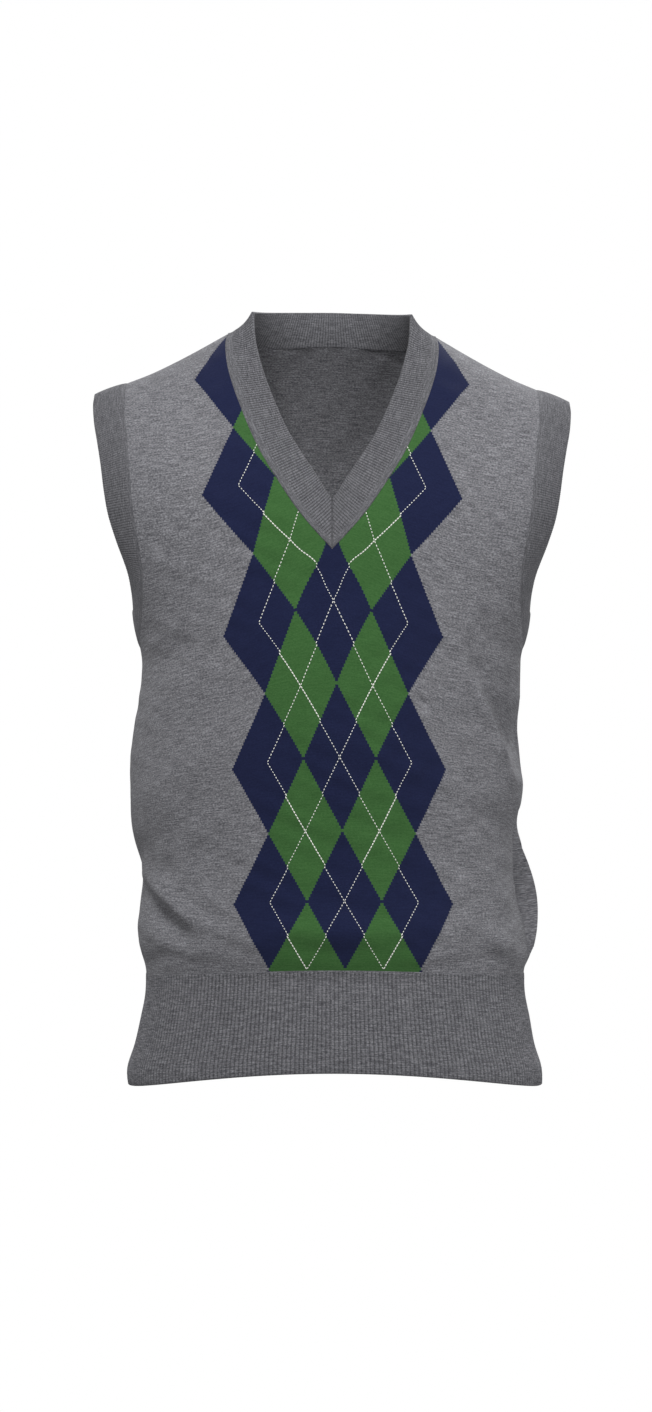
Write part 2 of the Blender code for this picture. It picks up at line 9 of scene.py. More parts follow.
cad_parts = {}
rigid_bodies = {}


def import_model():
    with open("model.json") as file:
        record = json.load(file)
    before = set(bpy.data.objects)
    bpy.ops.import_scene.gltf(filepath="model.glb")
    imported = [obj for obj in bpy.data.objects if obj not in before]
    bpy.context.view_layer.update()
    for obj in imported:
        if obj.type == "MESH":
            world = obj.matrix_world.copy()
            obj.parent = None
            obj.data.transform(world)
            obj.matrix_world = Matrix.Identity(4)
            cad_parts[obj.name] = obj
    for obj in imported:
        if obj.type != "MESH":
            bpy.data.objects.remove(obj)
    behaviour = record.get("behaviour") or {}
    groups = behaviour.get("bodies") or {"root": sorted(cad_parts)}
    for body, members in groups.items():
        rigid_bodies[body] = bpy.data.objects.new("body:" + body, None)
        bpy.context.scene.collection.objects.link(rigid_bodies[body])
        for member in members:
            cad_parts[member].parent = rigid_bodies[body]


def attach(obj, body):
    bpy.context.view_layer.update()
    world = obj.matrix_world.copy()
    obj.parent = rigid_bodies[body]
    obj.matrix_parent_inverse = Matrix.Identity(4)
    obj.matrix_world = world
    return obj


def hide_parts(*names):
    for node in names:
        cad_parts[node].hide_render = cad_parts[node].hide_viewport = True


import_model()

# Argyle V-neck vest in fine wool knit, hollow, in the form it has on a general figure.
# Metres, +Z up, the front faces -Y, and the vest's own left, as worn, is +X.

for thing in list(bpy.data.objects):
    if thing.type in ("CAMERA", "LIGHT") or thing.name == "Cube":
        bpy.data.objects.remove(thing, do_unlink=True)
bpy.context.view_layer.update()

mm = 0.001
sides = front, back = -1, 1
hands = right, left = -1, 1      # as worn

# the cloth body is the same surface as the solids, on a finer grid
body = {
    "wall": 1.8 * mm,
    "columns": 84,               # steps across half a panel
    "rows": {"hem to waist": 42, "waist to underarm": 74, "underarm to neck": 28, "neck to shoulder": 74},
    "sectionPower": 2.4,         # 2 is an ellipse, more is squarer
    "rowPower": 1.8,
    "shoulderTipX": 167 * mm,
    "leftDrop": 5.5 * mm,        # the left shoulder hangs lower by this at its tip
    "dropFull": -90 * mm,
    "dropNone": -320 * mm,
    "foldEnd": 0.35,             # share of a fold's height left at its ends
    "foldFade": 21 * mm,         # folds rise over this much above the hem seam
    "fineFolds": 1.35,           # how strong the finer creases are
    "rimFade": 9,                # which fade over a ninth of a row beside its ends
    "topFade": 8,                # and over so many rows under the shoulder seam
}
fineSamples = 160


def tableOf(names, rows, scale=mm):
    return {name: np.array([row[i] for row in rows], float) * scale for i, name in enumerate(names)}


# half breadths and depths in mm at each level
bodySizes = tableOf(("level", "right", "left", "front", "back"), [
    (-625, 165, 171, 121, 119), (-605, 167, 171, 120, 118), (-585, 161, 165, 119, 115),
    (-563, 156, 161, 117, 111), (-541, 152, 157, 115, 107), (-526, 152, 157, 113, 104),
    (-510, 156, 160, 117, 106), (-494, 159, 160, 118, 106), (-468, 157, 156, 116, 102),
    (-441, 154, 153, 114, 98), (-405, 163, 151, 114, 98), (-379, 165, 156, 115, 101),
    (-349, 165, 154, 116, 106), (-325, 162, 152, 116, 110), (-303, 158, 154, 116, 113),
    (-262, 157, 156, 114, 115), (-249, 161, 160, 113, 115), (-232, 168, 167, 111, 115),
    (-212, 180, 179, 108, 114), (-190, 193, 192, 106, 113), (-155, 212, 211, 101, 110),
    (-110, 235, 235, 94, 105), (-60, 250, 250, 86, 99), (0, 255, 255, 80, 92), (40, 255, 255, 76, 88),
])

# the ridge of the shoulders from the middle outwards
ridgeLine = tableOf(("x", "y", "z"), [
    (0, 15, 30), (40, 15, 19), (66, 14, 7), (86, 12, -4), (110, 9, -18), (130, 7, -29),
    (150, 4, -39), (167, 2, -46), (185, 0, -54),
])
rollDrop = {front: (200 * mm, 122 * mm), back: (150 * mm, 120 * mm)}
rollPower = {front: (1.3, 2.1), back: (1.8, 2.1)}

# neck seam and free edge of the neckband; crown is how far the band's middle stands out
neckNames = ("seamX", "seamZ", "edgeX", "edgeY", "edgeZ", "crown")
neckShape = {
    front: tableOf(neckNames, [
        (0, -183, 0, -93, -143, 0.8), (9.5, -173, 4, -91, -136.5, 0.8),
        (28.5, -150.5, 13, -84.5, -121.5, 0.8), (43.2, -128.5, 22.5, -77, -107, 0.8),
        (58.6, -103, 34.5, -66, -87.5, 0.5),
        (73.7, -68.4, 47, -48.5, -59.5, -0.5), (84.6, -35.4, 57, -30.5, -31.5, -1.5),
        (87.4, -14, 63, -13, -6.5, -2.5), (86, -4, 65, 3, 14.5, -3.0),
    ]),
    back: tableOf(neckNames, [
        (0, -8, 0, 62.5, 19, -1.5), (22, -9, 17, 60.5, 18.7, -1.5), (44, -10.5, 34, 55, 18.2, -1.8),
        (62, -11, 48, 46.5, 17.5, -2.2), (76, -10, 58.5, 35.5, 16.8, -2.6),
        (84, -7, 64.3, 20, 16, -3.0), (86, -4, 65, 3, 14.5, -3.0),
    ]),
}

# armhole seams from the underarm to the shoulder tip
underarmX = 157 * mm
armholeShape = {
    front: tableOf(("x", "z"), [
        (157, -262), (155.6, -249), (153.5, -232), (152.5, -212), (153.5, -194), (156.5, -175), (160, -155),
        (162, -135), (164, -110), (166, -90), (168, -72), (168.5, -58), (167, -46),
    ]),
    back: tableOf(("x", "z"), [
        (157, -262), (156.3, -250), (155.5, -235), (155, -215), (155.5, -190), (157, -162), (159, -135),
        (162, -105), (165, -80), (167.5, -60), (167, -46),
    ]),
}

# levels of each seam line: middle, side
panelLines = {
    front: [(-519, -526), (-428, -440), (-250, -262), (-183, -205), (-4, -46)],
    back: [(-524, -526), (-432, -440), (-250, -262), (-8, -118), (-4, -46)],
}

# folds in mm: from x, z to x, z, half width, height (minus is a trough)
mainFolds = {
    front: [
        (-152, -440, -108, -484, 9, 4.5), (-156, -460, -116, -500, 9, -6), (-150, -520, -128, -508, 6, -2.5),
        (117, -288, 146, -372, 9, 4), (137, -292, 153, -352, 9, -5), (128, -487, 150, -518, 8, 3.5),
        (112, -492, 132, -521, 8, -2.5), (150, -404, 155, -500, 9, -5),
    ],
    back: [
        (152, -425, 154, -512, 15, 13), (-148, -380, -150, -440, 14, 4), (-110, -440, 60, -470, 14, 4),
        (90, -478, -70, -502, 11, -3.5), (-132, -262, -96, -312, 12, 3), (132, -266, 100, -322, 12, 3),
    ],
}
fineFolds = {
    front: [
        (99, -256, 142, -366, 6, 3.4), (112, -262, 152, -356, 8, -4.6), (-151, -447, -110, -487, 4, 1.5),
        (-153, -457, -112, -493, 5, -1.8), (-154, -318, -66, -262, 11, 0.9),
        (-157, -352, -72, -296, 12, -0.8), (-158, -392, -78, -330, 12, 0.9),
        (-158, -424, -92, -376, 11, -0.8), (96, -436, 134, -486, 6, 1.8), (84, -300, 118, -396, 9, -1.2),
        (80, -338, 108, -424, 9, 1), (-150, -512, -70, -517, 7, -1.4), (70, -516, 148, -512, 7, -2.4),
        (-86, -470, -130, -430, 9, 1), (-150, -262, -104, -236, 6, 0.7), (-153, -278, -100, -252, 6, -0.6),
        (-154, -300, -110, -280, 7, 0.9), (-156, -330, -120, -372, 9, -0.5), (-158, -372, -112, -400, 9, 0.5),
        (-150, -404, -100, -426, 8, -0.5), (-140, -502, -86, -510, 7, 1.3), (-70, -490, 80, -488, 12, 3),
        (60, -511, 120, -508, 5, 1), (100, -262, 122, -330, 7, -1), (104, -322, 138, -400, 8, 0.9),
        (100, -405, 140, -470, 8, 1.5), (92, -424, 132, -490, 8, -1.3), (148, -240, 112, -222, 6, 1),
        (150, -262, 110, -244, 6, -0.9), (-120, -130, -70, -176, 10, 0.9), (120, -120, 74, -170, 10, 0.9),
        (-140, -84, -96, -62, 9, -0.8), (142, -92, 98, -68, 9, -0.8), (-24, -196, -10, -268, 8, -0.7),
        (26, -196, 12, -262, 8, -0.7), (-30, -330, 34, -338, 16, 0.9), (-70, -290, -40, -350, 12, -0.8),
        (60, -350, 84, -430, 12, 0.9),
    ],
    back: [
        (-140, -250, -84, -236, 7, 1.4), (142, -254, 88, -238, 7, 1.3), (-120, -60, -70, -110, 10, -1),
        (116, -56, 72, -104, 10, -1), (-60, -150, -66, -240, 12, 1.4), (58, -160, 70, -236, 12, 1.2),
        (-20, -300, 26, -410, 14, 1.6), (-84, -330, -50, -420, 12, -1.5), (96, -340, 60, -430, 12, 1.5),
        (-140, -470, -92, -452, 8, -2), (-120, -496, -30, -488, 8, 1.8), (40, -508, 120, -500, 8, 1.6),
        (126, -396, 90, -428, 9, -1.6), (142, -330, 116, -372, 9, 1.5), (-144, -330, -112, -362, 9, -1.4),
    ],
}


def unitOf(vectors):
    return vectors / np.maximum(norm(vectors, axis=-1, keepdims=True), 1e-9)


def mix(a, b, share):
    return a + (b - a) * share


def easeOf(share):
    share = np.clip(share, 0, 1)
    return share * share * (3 - 2 * share)


def smoothThrough(stations, values, at):
    # cubic through a table's rows, each slope from its neighbours
    at = np.clip(np.asarray(at, float), stations[0], stations[-1])
    slopes = np.gradient(values, stations, axis=0)
    low = np.clip(np.searchsorted(stations, at) - 1, 0, len(stations) - 2)
    span = stations[low + 1] - stations[low]
    t = (at - stations[low]) / span
    if np.ndim(values) > 1:
        t, span = t[..., None], span[..., None]
    rise = (1 + 2 * t) * (1 - t) ** 2 * values[low] + t * t * (3 - 2 * t) * values[low + 1]
    return rise + t * (1 - t) ** 2 * span * slopes[low] + t * t * (t - 1) * span * slopes[low + 1]


def runAlong(points, axis=0):
    # distance run along a line, or along each line of a grid, from 0
    return np.insert(np.cumsum(norm(np.diff(points, axis=axis), axis=-1), axis), 0, 0, axis)


def runOf(points):
    # the same as a share, 0 to 1
    run = runAlong(points)
    return run / run[-1]


def readAlong(points, run, wanted):
    # a line's points, or its values, at the wanted places of its run
    lines = np.reshape(points, (len(points), -1))
    return np.stack([np.interp(wanted, run, line) for line in lines.T], -1)


def roundSeam(parts):
    # one line from two halves: up the front and down the back
    return np.concatenate([parts[0], parts[1][::-1][1:]])


def halfBreadth(hand, level):
    return smoothThrough(bodySizes["level"], bodySizes["right" if hand == right else "left"], level)


def ridgeAt(name, x):
    return smoothThrough(ridgeLine["x"], ridgeLine[name], np.abs(x))


def bodyY(side, hand, x, level):
    # depth = depthOfLevel * (1 - |x/breadth|^n)^(1/n), rolled over the shoulder ridge:
    # roll = (1 - (1 - drop/reach)^m)^(1/m)
    across = np.minimum(np.abs(x) / halfBreadth(hand, level), 1.0)
    bend = (1 - across ** body["sectionPower"]) ** (1 / body["sectionPower"])
    out = np.minimum(np.abs(x) / body["shoulderTipX"], 1.0)
    drop = np.maximum(ridgeAt("z", x) - level, 0.0)
    power = mix(*rollPower[side], out)
    roll = (1 - (1 - np.minimum(drop / mix(*rollDrop[side], out), 1.0)) ** power) ** (1 / power)
    depth = smoothThrough(bodySizes["level"], bodySizes["front" if side == front else "back"], level)
    return ridgeAt("y", x) * (1 - roll) + side * depth * bend * roll


def facingAt(side, hand, x, level):
    # direction out of the body surface, (-dy/dx, 1, -dy/dz), from small steps each way
    step = 0.5 * mm
    inner = np.maximum(x - step, 0)
    byX = (bodyY(side, hand, x + step, level) - bodyY(side, hand, inner, level)) / (x + step - inner)
    byZ = (bodyY(side, hand, x, level + step) - bodyY(side, hand, x, level - step)) / (2 * step)
    return unitOf(np.stack([-hand * byX * np.minimum(x / (4 * mm), 1), np.ones_like(x), -byZ], -1)) * side


def neckLine(side, hand, share):
    # seam, free edge and crown of the neckband by share of the seam's length
    rows = neckShape[side]
    x, z = rows["seamX"], rows["seamZ"]
    seam = np.stack([hand * x, bodyY(side, hand, x, z), z], -1)
    edge = np.stack([hand * rows["edgeX"], rows["edgeY"], rows["edgeZ"]], -1)
    return [smoothThrough(runOf(seam), values, share) for values in (seam, edge, rows["crown"])]


def armholeLine(side, hand, share):
    # x and level of the armhole's seam by share of its length, narrowed to the body at the underarm
    rows = armholeShape[side]
    scale = halfBreadth(hand, rows["z"][0]) / underarmX
    x = mix(rows["x"] * scale, rows["x"], np.linspace(0, 1, len(rows["x"])))
    run = runOf(np.stack([x, bodyY(side, hand, x, rows["z"]), rows["z"]], -1))
    return smoothThrough(run, x, share), smoothThrough(run, rows["z"], share)


def armholeShare(side, hand, level):
    shares = np.linspace(0, 1, fineSamples)
    return np.interp(level, armholeLine(side, hand, shares)[1], shares)


def rowEnds(side, hand):
    # inner x and level, outer x and level, and share of the shoulder ridge, for every row
    lines, parts = panelLines[side], []
    for index, steps in enumerate(body["rows"].values()):
        (innerLow, outerLow), (innerHigh, outerHigh) = lines[index], lines[index + 1]
        last = index == len(lines) - 2
        share = np.arange(steps + (1 if last else 0)) / steps
        innerX, innerZ = np.zeros_like(share), mix(innerLow, innerHigh, share) * mm
        if last:
            seam = neckLine(side, hand, share)[0]
            innerX, innerZ = np.abs(seam[:, 0]), seam[:, 2]
        if index < 2:
            outerZ = mix(outerLow, outerHigh, share) * mm
            outerX = halfBreadth(hand, outerZ)
        else:
            ends = [armholeShare(side, hand, level * mm) for level in (outerLow, outerHigh)]
            outerX, outerZ = armholeLine(side, hand, mix(ends[0], ends[1], share))
        parts.append(np.stack([innerX, innerZ, outerX, outerZ, share * last]))
    return np.concatenate(parts, axis=1)


def evenAlong(points, steps):
    # puts each row's points at even distances: rows x steps + 1 x 3
    length = runAlong(points, 1)
    offset = 2.0 * np.arange(len(points))[:, None]
    run = (length / length[:, -1:] + offset).ravel()
    wanted = (np.linspace(0, 1, steps + 1) + offset).ravel()
    return readAlong(points.reshape(-1, 3), run, wanted).reshape(len(points), -1, 3)


def halfPanel(side, hand):
    # x = breadth * sin(turn)^(2/n) along each row, level falls outwards as share^rowPower
    innerX, innerZ, outerX, outerZ, ridgeShare = rowEnds(side, hand)[:, :, None]
    power = 2 / body["sectionPower"]
    turns = [np.arcsin(np.clip(x / halfBreadth(hand, z), 0, 1) ** (1 / power))
             for x, z in ((innerX, innerZ), (outerX, outerZ))]
    way = np.linspace(0, 1, fineSamples)
    turn, level = mix(*turns, way), mix(innerZ, outerZ, way)
    high, low = ridgeAt("z", innerX), ridgeAt("z", outerX)
    for _ in range(12):
        x = halfBreadth(hand, level) * np.sin(turn) ** power
        share = np.clip((x - innerX) / (outerX - innerX), 0, 1)
        overRidge = (high - ridgeAt("z", x)) / (high - low)
        level = mix(innerZ, outerZ, mix(share ** body["rowPower"], overRidge, ridgeShare))
    x[:, :1], x[:, -1:] = innerX, outerX
    return evenAlong(np.stack([hand * x, bodyY(side, hand, x, level), level], -1), body["columns"])


def foldHeight(points, folds):
    # each fold: height * ease * exp(-across^2 - past^2), a soft ridge along a line
    height = np.zeros(points.shape[:-1])
    for *ends, width, size in folds:
        (a, b), width = np.reshape(ends, (2, 2)) * mm, width * mm
        place, length = points[..., (0, 2)] - a, norm(b - a)
        direction = (b - a) / length
        share = (place @ direction) / length
        offLine = place @ np.array((-direction[1], direction[0])) / width
        middle = np.clip(share, 0, 1)
        past = (share - middle) * length / width
        ease = mix(body["foldEnd"], 1, np.sin(np.pi * middle))
        height += size * mm * ease * np.exp(-offLine ** 2 - past ** 2)
    return height


ripples = {
    "height": 0.34 * mm,
    "slower": (0.9, 2.3),        # each fades in and out over 2 pi times so many of its wavelengths
    # wavelength across and up in mm, phase, share
    "waves": [(61, 23, 0.3, 1.0), (-47, 31, 1.9, 0.8), (34, 17, 4.1, 0.7),
              (-29, 53, 2.6, 0.8), (97, 39, 5.2, 1.0), (19, -13, 0.9, 0.35)],
}


def rippleHeight(points, side):
    # sum of slanting sines, each fading in and out by a slower one
    x, z = points[..., 0] / mm, points[..., 2] / mm
    height = np.zeros_like(x)
    slowAcross, slowUp = ripples["slower"]
    for acrossWave, upWave, phase, share in ripples["waves"]:
        slow = 0.5 + 0.5 * np.sin(x / (acrossWave * slowAcross) - z / (upWave * slowUp) + phase * 3 + side)
        height += share * slow * np.sin(2 * np.pi * (x / acrossWave + z / upWave) + phase + side * 0.8)
    return height * ripples["height"]


def allNormals(grids):
    # directions out of each half panel, at the middle line worked out across both halves
    normals, below = {}, slice(neckRow + 1)
    for (side, hand), grid in grids.items():
        across = np.gradient(grid, axis=1, edge_order=2)
        across[below, 0] = (grid[below, 1] - grids[side, -hand][below, 1]) / 2
        normals[side, hand] = unitOf(np.cross(across, np.gradient(grid, axis=0, edge_order=2))) * hand * -side
    return normals


def shareLine(grids, keys, part):
    # two half panels meet in the mean of their lines
    mean = (grids[keys[0]][part] + grids[keys[1]][part]) / 2
    for key in keys:
        grids[key][part] = mean


def joinSeams(grids):
    # front and back share their side seams and shoulder seams
    for hand in hands:
        for part in ((slice(underarmRow + 1), -1), -1):
            shareLine(grids, ((front, hand), (back, hand)), part)


def evenRim(normals, hand, column, firstRow):
    # turns the directions along a neck or armhole seam a little to their neighbours
    line = roundSeam([normals[side, hand][firstRow:, column] for side in sides])
    for _ in range(24):
        line[1:-1] = unitOf(line[:-2] + 2 * line[1:-1] + line[2:])
    middle = len(line) // 2
    normals[front, hand][firstRow:, column] = line[:middle + 1]
    normals[back, hand][firstRow:, column] = line[middle:][::-1]


def settle(points):
    # the left shoulder sinks and the right one rises as much, by level and distance out
    points = np.array(points, float)
    share = easeOf((points[..., 2] - body["dropNone"]) / (body["dropFull"] - body["dropNone"]))
    points[..., 2] -= body["leftDrop"] / 2 * points[..., 0] / body["shoulderTipX"] * share
    return points


underarmRow = body["rows"]["hem to waist"] + body["rows"]["waist to underarm"]
neckRow = underarmRow + body["rows"]["underarm to neck"]


def makeCloth():
    # surface = form + direction * (folds + creases + ripple), all growing from the hem seam
    grids = {(side, hand): halfPanel(side, hand) for side in sides for hand in hands}
    flat = {key: grid.copy() for key, grid in grids.items()}
    normals = allNormals(grids)
    for (side, hand), grid in grids.items():
        row = np.arange(len(grid))[:, None]
        fade = np.minimum(runAlong(grid) / body["foldFade"], 1.0)
        rimFade = np.minimum(np.linspace(0, 1, grid.shape[1])[None] * body["rimFade"], 1.0)
        underNeck = easeOf((grid[neckRow, :1, 2] - grid[:, :1, 2]) / body["foldFade"]) * (row < neckRow)
        topFade = np.minimum(row[::-1] / body["topFade"], 1.0)
        fine = foldHeight(grid, fineFolds[side]) * body["fineFolds"] + rippleHeight(grid, side)
        fine *= rimFade[:, ::-1] * mix(rimFade, 1.0, underNeck) * topFade
        height = (foldHeight(grid, mainFolds[side]) + fine) * fade
        grids[side, hand] = grid + normals[side, hand] * height[..., None]
    joinSeams(grids)
    for side in sides:
        shareLine(grids, ((side, right), (side, left)), (slice(neckRow + 1), 0))
    normals = allNormals(grids)
    for (side, hand), facing in normals.items():
        # the rows of the back lie too close to tell a direction beside the neck, so the form gives it
        part = slice(neckRow, None), slice(body["columns"] // 2 if side == back else 1)
        x, _, z = np.moveaxis(flat[side, hand][part], -1, 0)
        away = easeOf(np.linspace(0, 1, x.shape[1] + 1)[None, :-1, None])
        facing[part] = mix(facingAt(side, hand, np.abs(x), z), facing[part], away)
    joinSeams(normals)
    normals = {key: unitOf(value) for key, value in normals.items()}
    for hand in hands:
        evenRim(normals, hand, 0, neckRow)
        evenRim(normals, hand, -1, underarmRow)
    return grids, normals, flat


# where the argyle lies: u runs across the cloth from its middle line and v up from the hem seam,
# in flat metres, so a diamond is the same size everywhere in u and v
argyle = {
    "halfWidth": 29.5 * mm,
    "halfHeight": 55.2 * mm,
    "wale": 29.5 / 23 * mm,      # one stitch across
    "course": 1.2 * mm,          # one stitch up
    "overcheckStitches": 24,     # raised stitches in half a diamond's height
    "pucker": (3.3 * mm, 2.9 * mm),      # beside the point of the V the cloth is pulled in and up
    "puckerAt": (13 * mm, -191 * mm),
    "puckerReach": (14 * mm, 24 * mm),
    "puckerEase": 9 * mm,        # it begins this far from the middle line
    "pullEase": 26 * mm,         # and the outward pull of a row this far
    "outerFall": 0.5,            # share of the fall past three half widths
    "bendRound": 0.004,          # rounds the row where it crosses the middle line
    "rollFrom": -110 * mm,       # above this level the rows run on over the shoulder
    "rollSlack": 1.2,            # by what they run more than so many times their rise
}

# half diamonds up from the hem seam: level two half widths out, how much lower the row is
# at three, the power of that fall, drift of the middle line, stretch across and pull outwards
patternRows = {
    "count": np.arange(-1, 11, dtype=float),
    "level": np.array([-571, -518.2, -465.1, -410.1, -353.4, -298.4, -242.1, -187.0,
                       -132.4, -84.9, -37.1, 11]) * mm,
    "fall": np.array([0, 0, 3, 6, 10, 18, 30.5, 34, 26, 20, 20, 20]) * mm,
    "power": np.array([2, 2, 2, 2, 2, 1.8, 1.1, 1, 1, 1, 1, 1.0]),
    "drift": np.array([10.4, 10.4, 9.8, 8.1, 6.0, 3.6, 1.0, 0, 0, 0, 0, 0]) * mm,
    "stretch": np.array([1.037, 1.037, 1.01, 1.003, 0.98, 0.976, 0.997, 0.997, 0.997, 0.997, 0.997, 0.997]),
    "pull": np.array([0, 0, 0, 0, 0, 0, 1.0, 4.6, 16.6, 21, 25, 25]) * mm,
}


def unrolledLevel(side, hand, flat, slack):
    # over the shoulder the cloth runs on as the level stands still: each step above rollFrom adds
    # what its length is more than slack times its rise
    x, z, low = np.abs(flat[..., 0]), flat[..., 2], argyle["rollFrom"]
    levels = low + np.maximum(z - low, 0)[..., None] * np.linspace(0, 1, 41)
    rise = np.diff(levels)
    length = np.hypot(np.diff(bodyY(side, hand, x[..., None], levels)), rise)
    return z + np.sum(np.maximum(length - slack * rise, 0), axis=-1)


def frontPlaces(grid, hand, flat):
    # u = (distance - drift - pull) / stretch, and v solves level(v) = z + fall(v) * bend(u).
    # Beside the point of the V both are moved by pucker * exp(-across^2 - up^2)
    rows, x = patternRows, np.abs(grid[..., 0])
    z = unrolledLevel(front, hand, flat, argyle["rollSlack"])
    (puckerX, puckerZ), (reachX, reachZ) = argyle["puckerAt"], argyle["puckerReach"]
    puckered = np.exp(-((x - puckerX) / reachX) ** 2 - ((z - puckerZ) / reachZ) ** 2)
    puckered *= easeOf(x / argyle["puckerEase"])
    z = z - argyle["pucker"][1] * puckered
    distance = np.abs(flat[:, :1, 0]) + runAlong(flat, 1) + argyle["pucker"][0] * puckered
    count = np.interp(z, rows["level"], rows["count"])

    def now(name):
        return np.interp(count, rows["count"], rows[name])

    for _ in range(16):
        pull = now("pull") * easeOf(x / argyle["pullEase"])
        u = (distance - now("drift") * hand - pull) / now("stretch")
        out = np.abs(u) / (3 * argyle["halfWidth"])
        out = np.where(out > 1, 1 + (out - 1) * argyle["outerFall"], out)
        power = now("power")
        bend = (out ** 2 + argyle["bendRound"]) ** (power / 2) - (2 / 3) ** power
        count = mix(count, np.interp(z + now("fall") * bend, rows["level"], rows["count"]), 0.7)
    return np.stack([hand * u, count * argyle["halfHeight"]], -1)


def plainPlaces(hand, flat):
    # distance across from the middle line, and the level, run on over the shoulder
    across = np.abs(flat[:, :1, 0]) + runAlong(flat, 1)
    return np.stack([hand * across, unrolledLevel(back, hand, flat, 1)], -1)


def addObject(name, data):
    thing = bpy.data.objects.new(name, data)
    bpy.context.scene.collection.objects.link(thing)
    return thing


def addPiece(name, points, faces, places, material):
    # faces are corner numbers, places the u and v of each corner of each face
    mesh = bpy.data.meshes.new(name)
    corners = np.concatenate([f.ravel() for f in faces])
    sizes = np.concatenate([np.full(len(f), f.shape[1]) for f in faces])
    mesh.vertices.add(len(points))
    mesh.vertices.foreach_set("co", settle(points).astype(np.float32).ravel())
    mesh.loops.add(len(corners))
    mesh.loops.foreach_set("vertex_index", corners.astype(np.int32))
    mesh.polygons.add(len(sizes))
    mesh.polygons.foreach_set("loop_start", (np.cumsum(sizes) - sizes).astype(np.int32))
    if places is not None:
        spots = np.concatenate([p.reshape(-1, 2) for p in places])
        mesh.uv_layers.new(name="cloth").data.foreach_set("uv", spots.astype(np.float32).ravel())
    mesh.update(calc_edges=True)
    mesh.validate()
    mesh.shade_smooth()
    mesh.set_sharp_from_angle(angle=radians(55))
    mesh.materials.append(material)
    piece = addObject(name, mesh)
    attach(piece, "root")
    return piece


def quadsOf(numbers, flip):
    corners = numbers[:-1, :-1], numbers[:-1, 1:], numbers[1:, 1:], numbers[1:, :-1]
    return np.stack(corners[::-1] if flip else corners, -1).reshape(-1, 4)


def makePanel(name, side, cloth, places, material):
    # the outer face, the inner face one wall behind it, and the rims between them
    grids, normals, _ = cloth
    rows, columns = grids[side, right].shape[:2]
    total = rows * columns
    numberRight = np.arange(total).reshape(rows, columns)
    numberLeft = numberRight + total
    numberLeft[:neckRow + 1, 0] = numberRight[:neckRow + 1, 0]
    outer, facing, spots = (np.concatenate([values[side, hand].reshape(total, -1) for hand in hands])
                            for values in (grids, normals, places))
    skin = np.concatenate([quadsOf(numberRight, side == front), quadsOf(numberLeft, side == back)])
    edges = np.concatenate([skin[:, [k, (k + 1) % 4]] for k in range(4)])
    key = edges[:, 0] * 4 * total + edges[:, 1]
    rim = edges[~np.isin(key, edges[:, 1] * 4 * total + edges[:, 0])]
    kept = np.unique(skin)
    count = len(kept)
    renumber = np.zeros(2 * total, int)
    renumber[kept] = np.arange(count)
    outside, edge = renumber[skin], renumber[rim]
    points = np.concatenate([outer[kept], outer[kept] - unitOf(facing[kept]) * body["wall"]])
    rimFaces = np.concatenate([edge[:, ::-1], edge + count], axis=1)
    corners = [spots[skin], spots[skin[:, ::-1]], spots[rim[:, [1, 0, 0, 1]]]]
    return addPiece(name, points, [outside, outside[:, ::-1] + count, rimFaces], corners, material)


def makeLoopedGrid(name, points, spots, closed, flip, material):
    # points: rings x columns, the rings wrap; closed says that the columns wrap too.
    # spots: u and v, one longer than the rings, and than the columns where they wrap
    rings, columns = points.shape[:2]
    numbers = np.arange(rings * columns).reshape(rings, columns)
    numbers = np.concatenate([numbers, numbers[:1]])
    if closed:
        numbers = np.concatenate([numbers, numbers[:, :1]], axis=1)
    grid = np.arange(spots.shape[0] * spots.shape[1]).reshape(spots.shape[:2])
    faces, corners = [quadsOf(numbers, flip)], [spots.reshape(-1, 2)[quadsOf(grid, flip)]]
    if not closed:
        half = rings // 2
        for column, turned in ((0, not flip), (columns - 1, flip)):
            for values, found in ((numbers, faces), (spots, corners)):
                ring = values[:-1, column]
                pairs = np.stack([ring[:half], ring[::-1][:half]], 1)
                cap = np.concatenate([pairs[:-1], pairs[1:, ::-1]], axis=1)
                found.append(cap[:, ::-1] if turned else cap)
    return addPiece(name, points.reshape(-1, 3), faces, corners, material)


# what the ribbed pieces have in common
ribWork = {
    "wall": 2.2 * mm,
    "course": 1.3 * mm,          # one stitch along a rib
    "relief": 0.25 * mm,
    "linkAt": 1.3 * mm,          # the ridge of linked stitches lies this far from the seam
    "linkWidth": 0.8 * mm,
    "sunk": 0.25 * mm,           # how deep the seam lies, and how wide
    "sunkWidth": 0.5 * mm,
    "rise": 1.5 * mm,            # a band comes up from its seam over this much
    "turn": 0.25,                # share of a band's width in which it leaves the panel's direction
    "ribPower": 0.8,             # 1 is a sine, less is a rounder rib with a narrower valley
    "loopLow": 0.35,             # how high the linked stitches are between two loops
    "grow": (0.7, 1.2),          # the ribs come up between these shares of the plain strip
    "straightAt": -18 * mm,      # above this level a band's ribs run straight from seam to edge,
    "squareBelow": 34 * mm,      # and so far below it they stand square to the seam
}
neckbandSizes = {
    "rib": 2.4 * mm,             # from one rib to the next
    "perRib": 6,                 # mesh steps a rib
    "raise": 0.75 * mm,
    "plain": 6.5 * mm,           # unribbed strip beside the seam,
    "flat": 0.5,                 # and its height as a share of a rib's
    "rows": 38,                  # mesh rows from seam to edge, outside and inside
    "inRows": 6,
    "link": 0.45 * mm,           # height of the linked stitches
    "mitre": 0.9 * mm,           # depth of the groove where the two sides meet at the point
    "mitreWidth": 0.8 * mm,
    "valley": 0.4,               # how much of its colour the valley of a rib keeps under its painted shade
    "mottle": 0.75,              # how strongly the two greys show
    "toneAndShade": 0.93,                # and how light the wool is in all; lower on the armbands, as painted shade
}
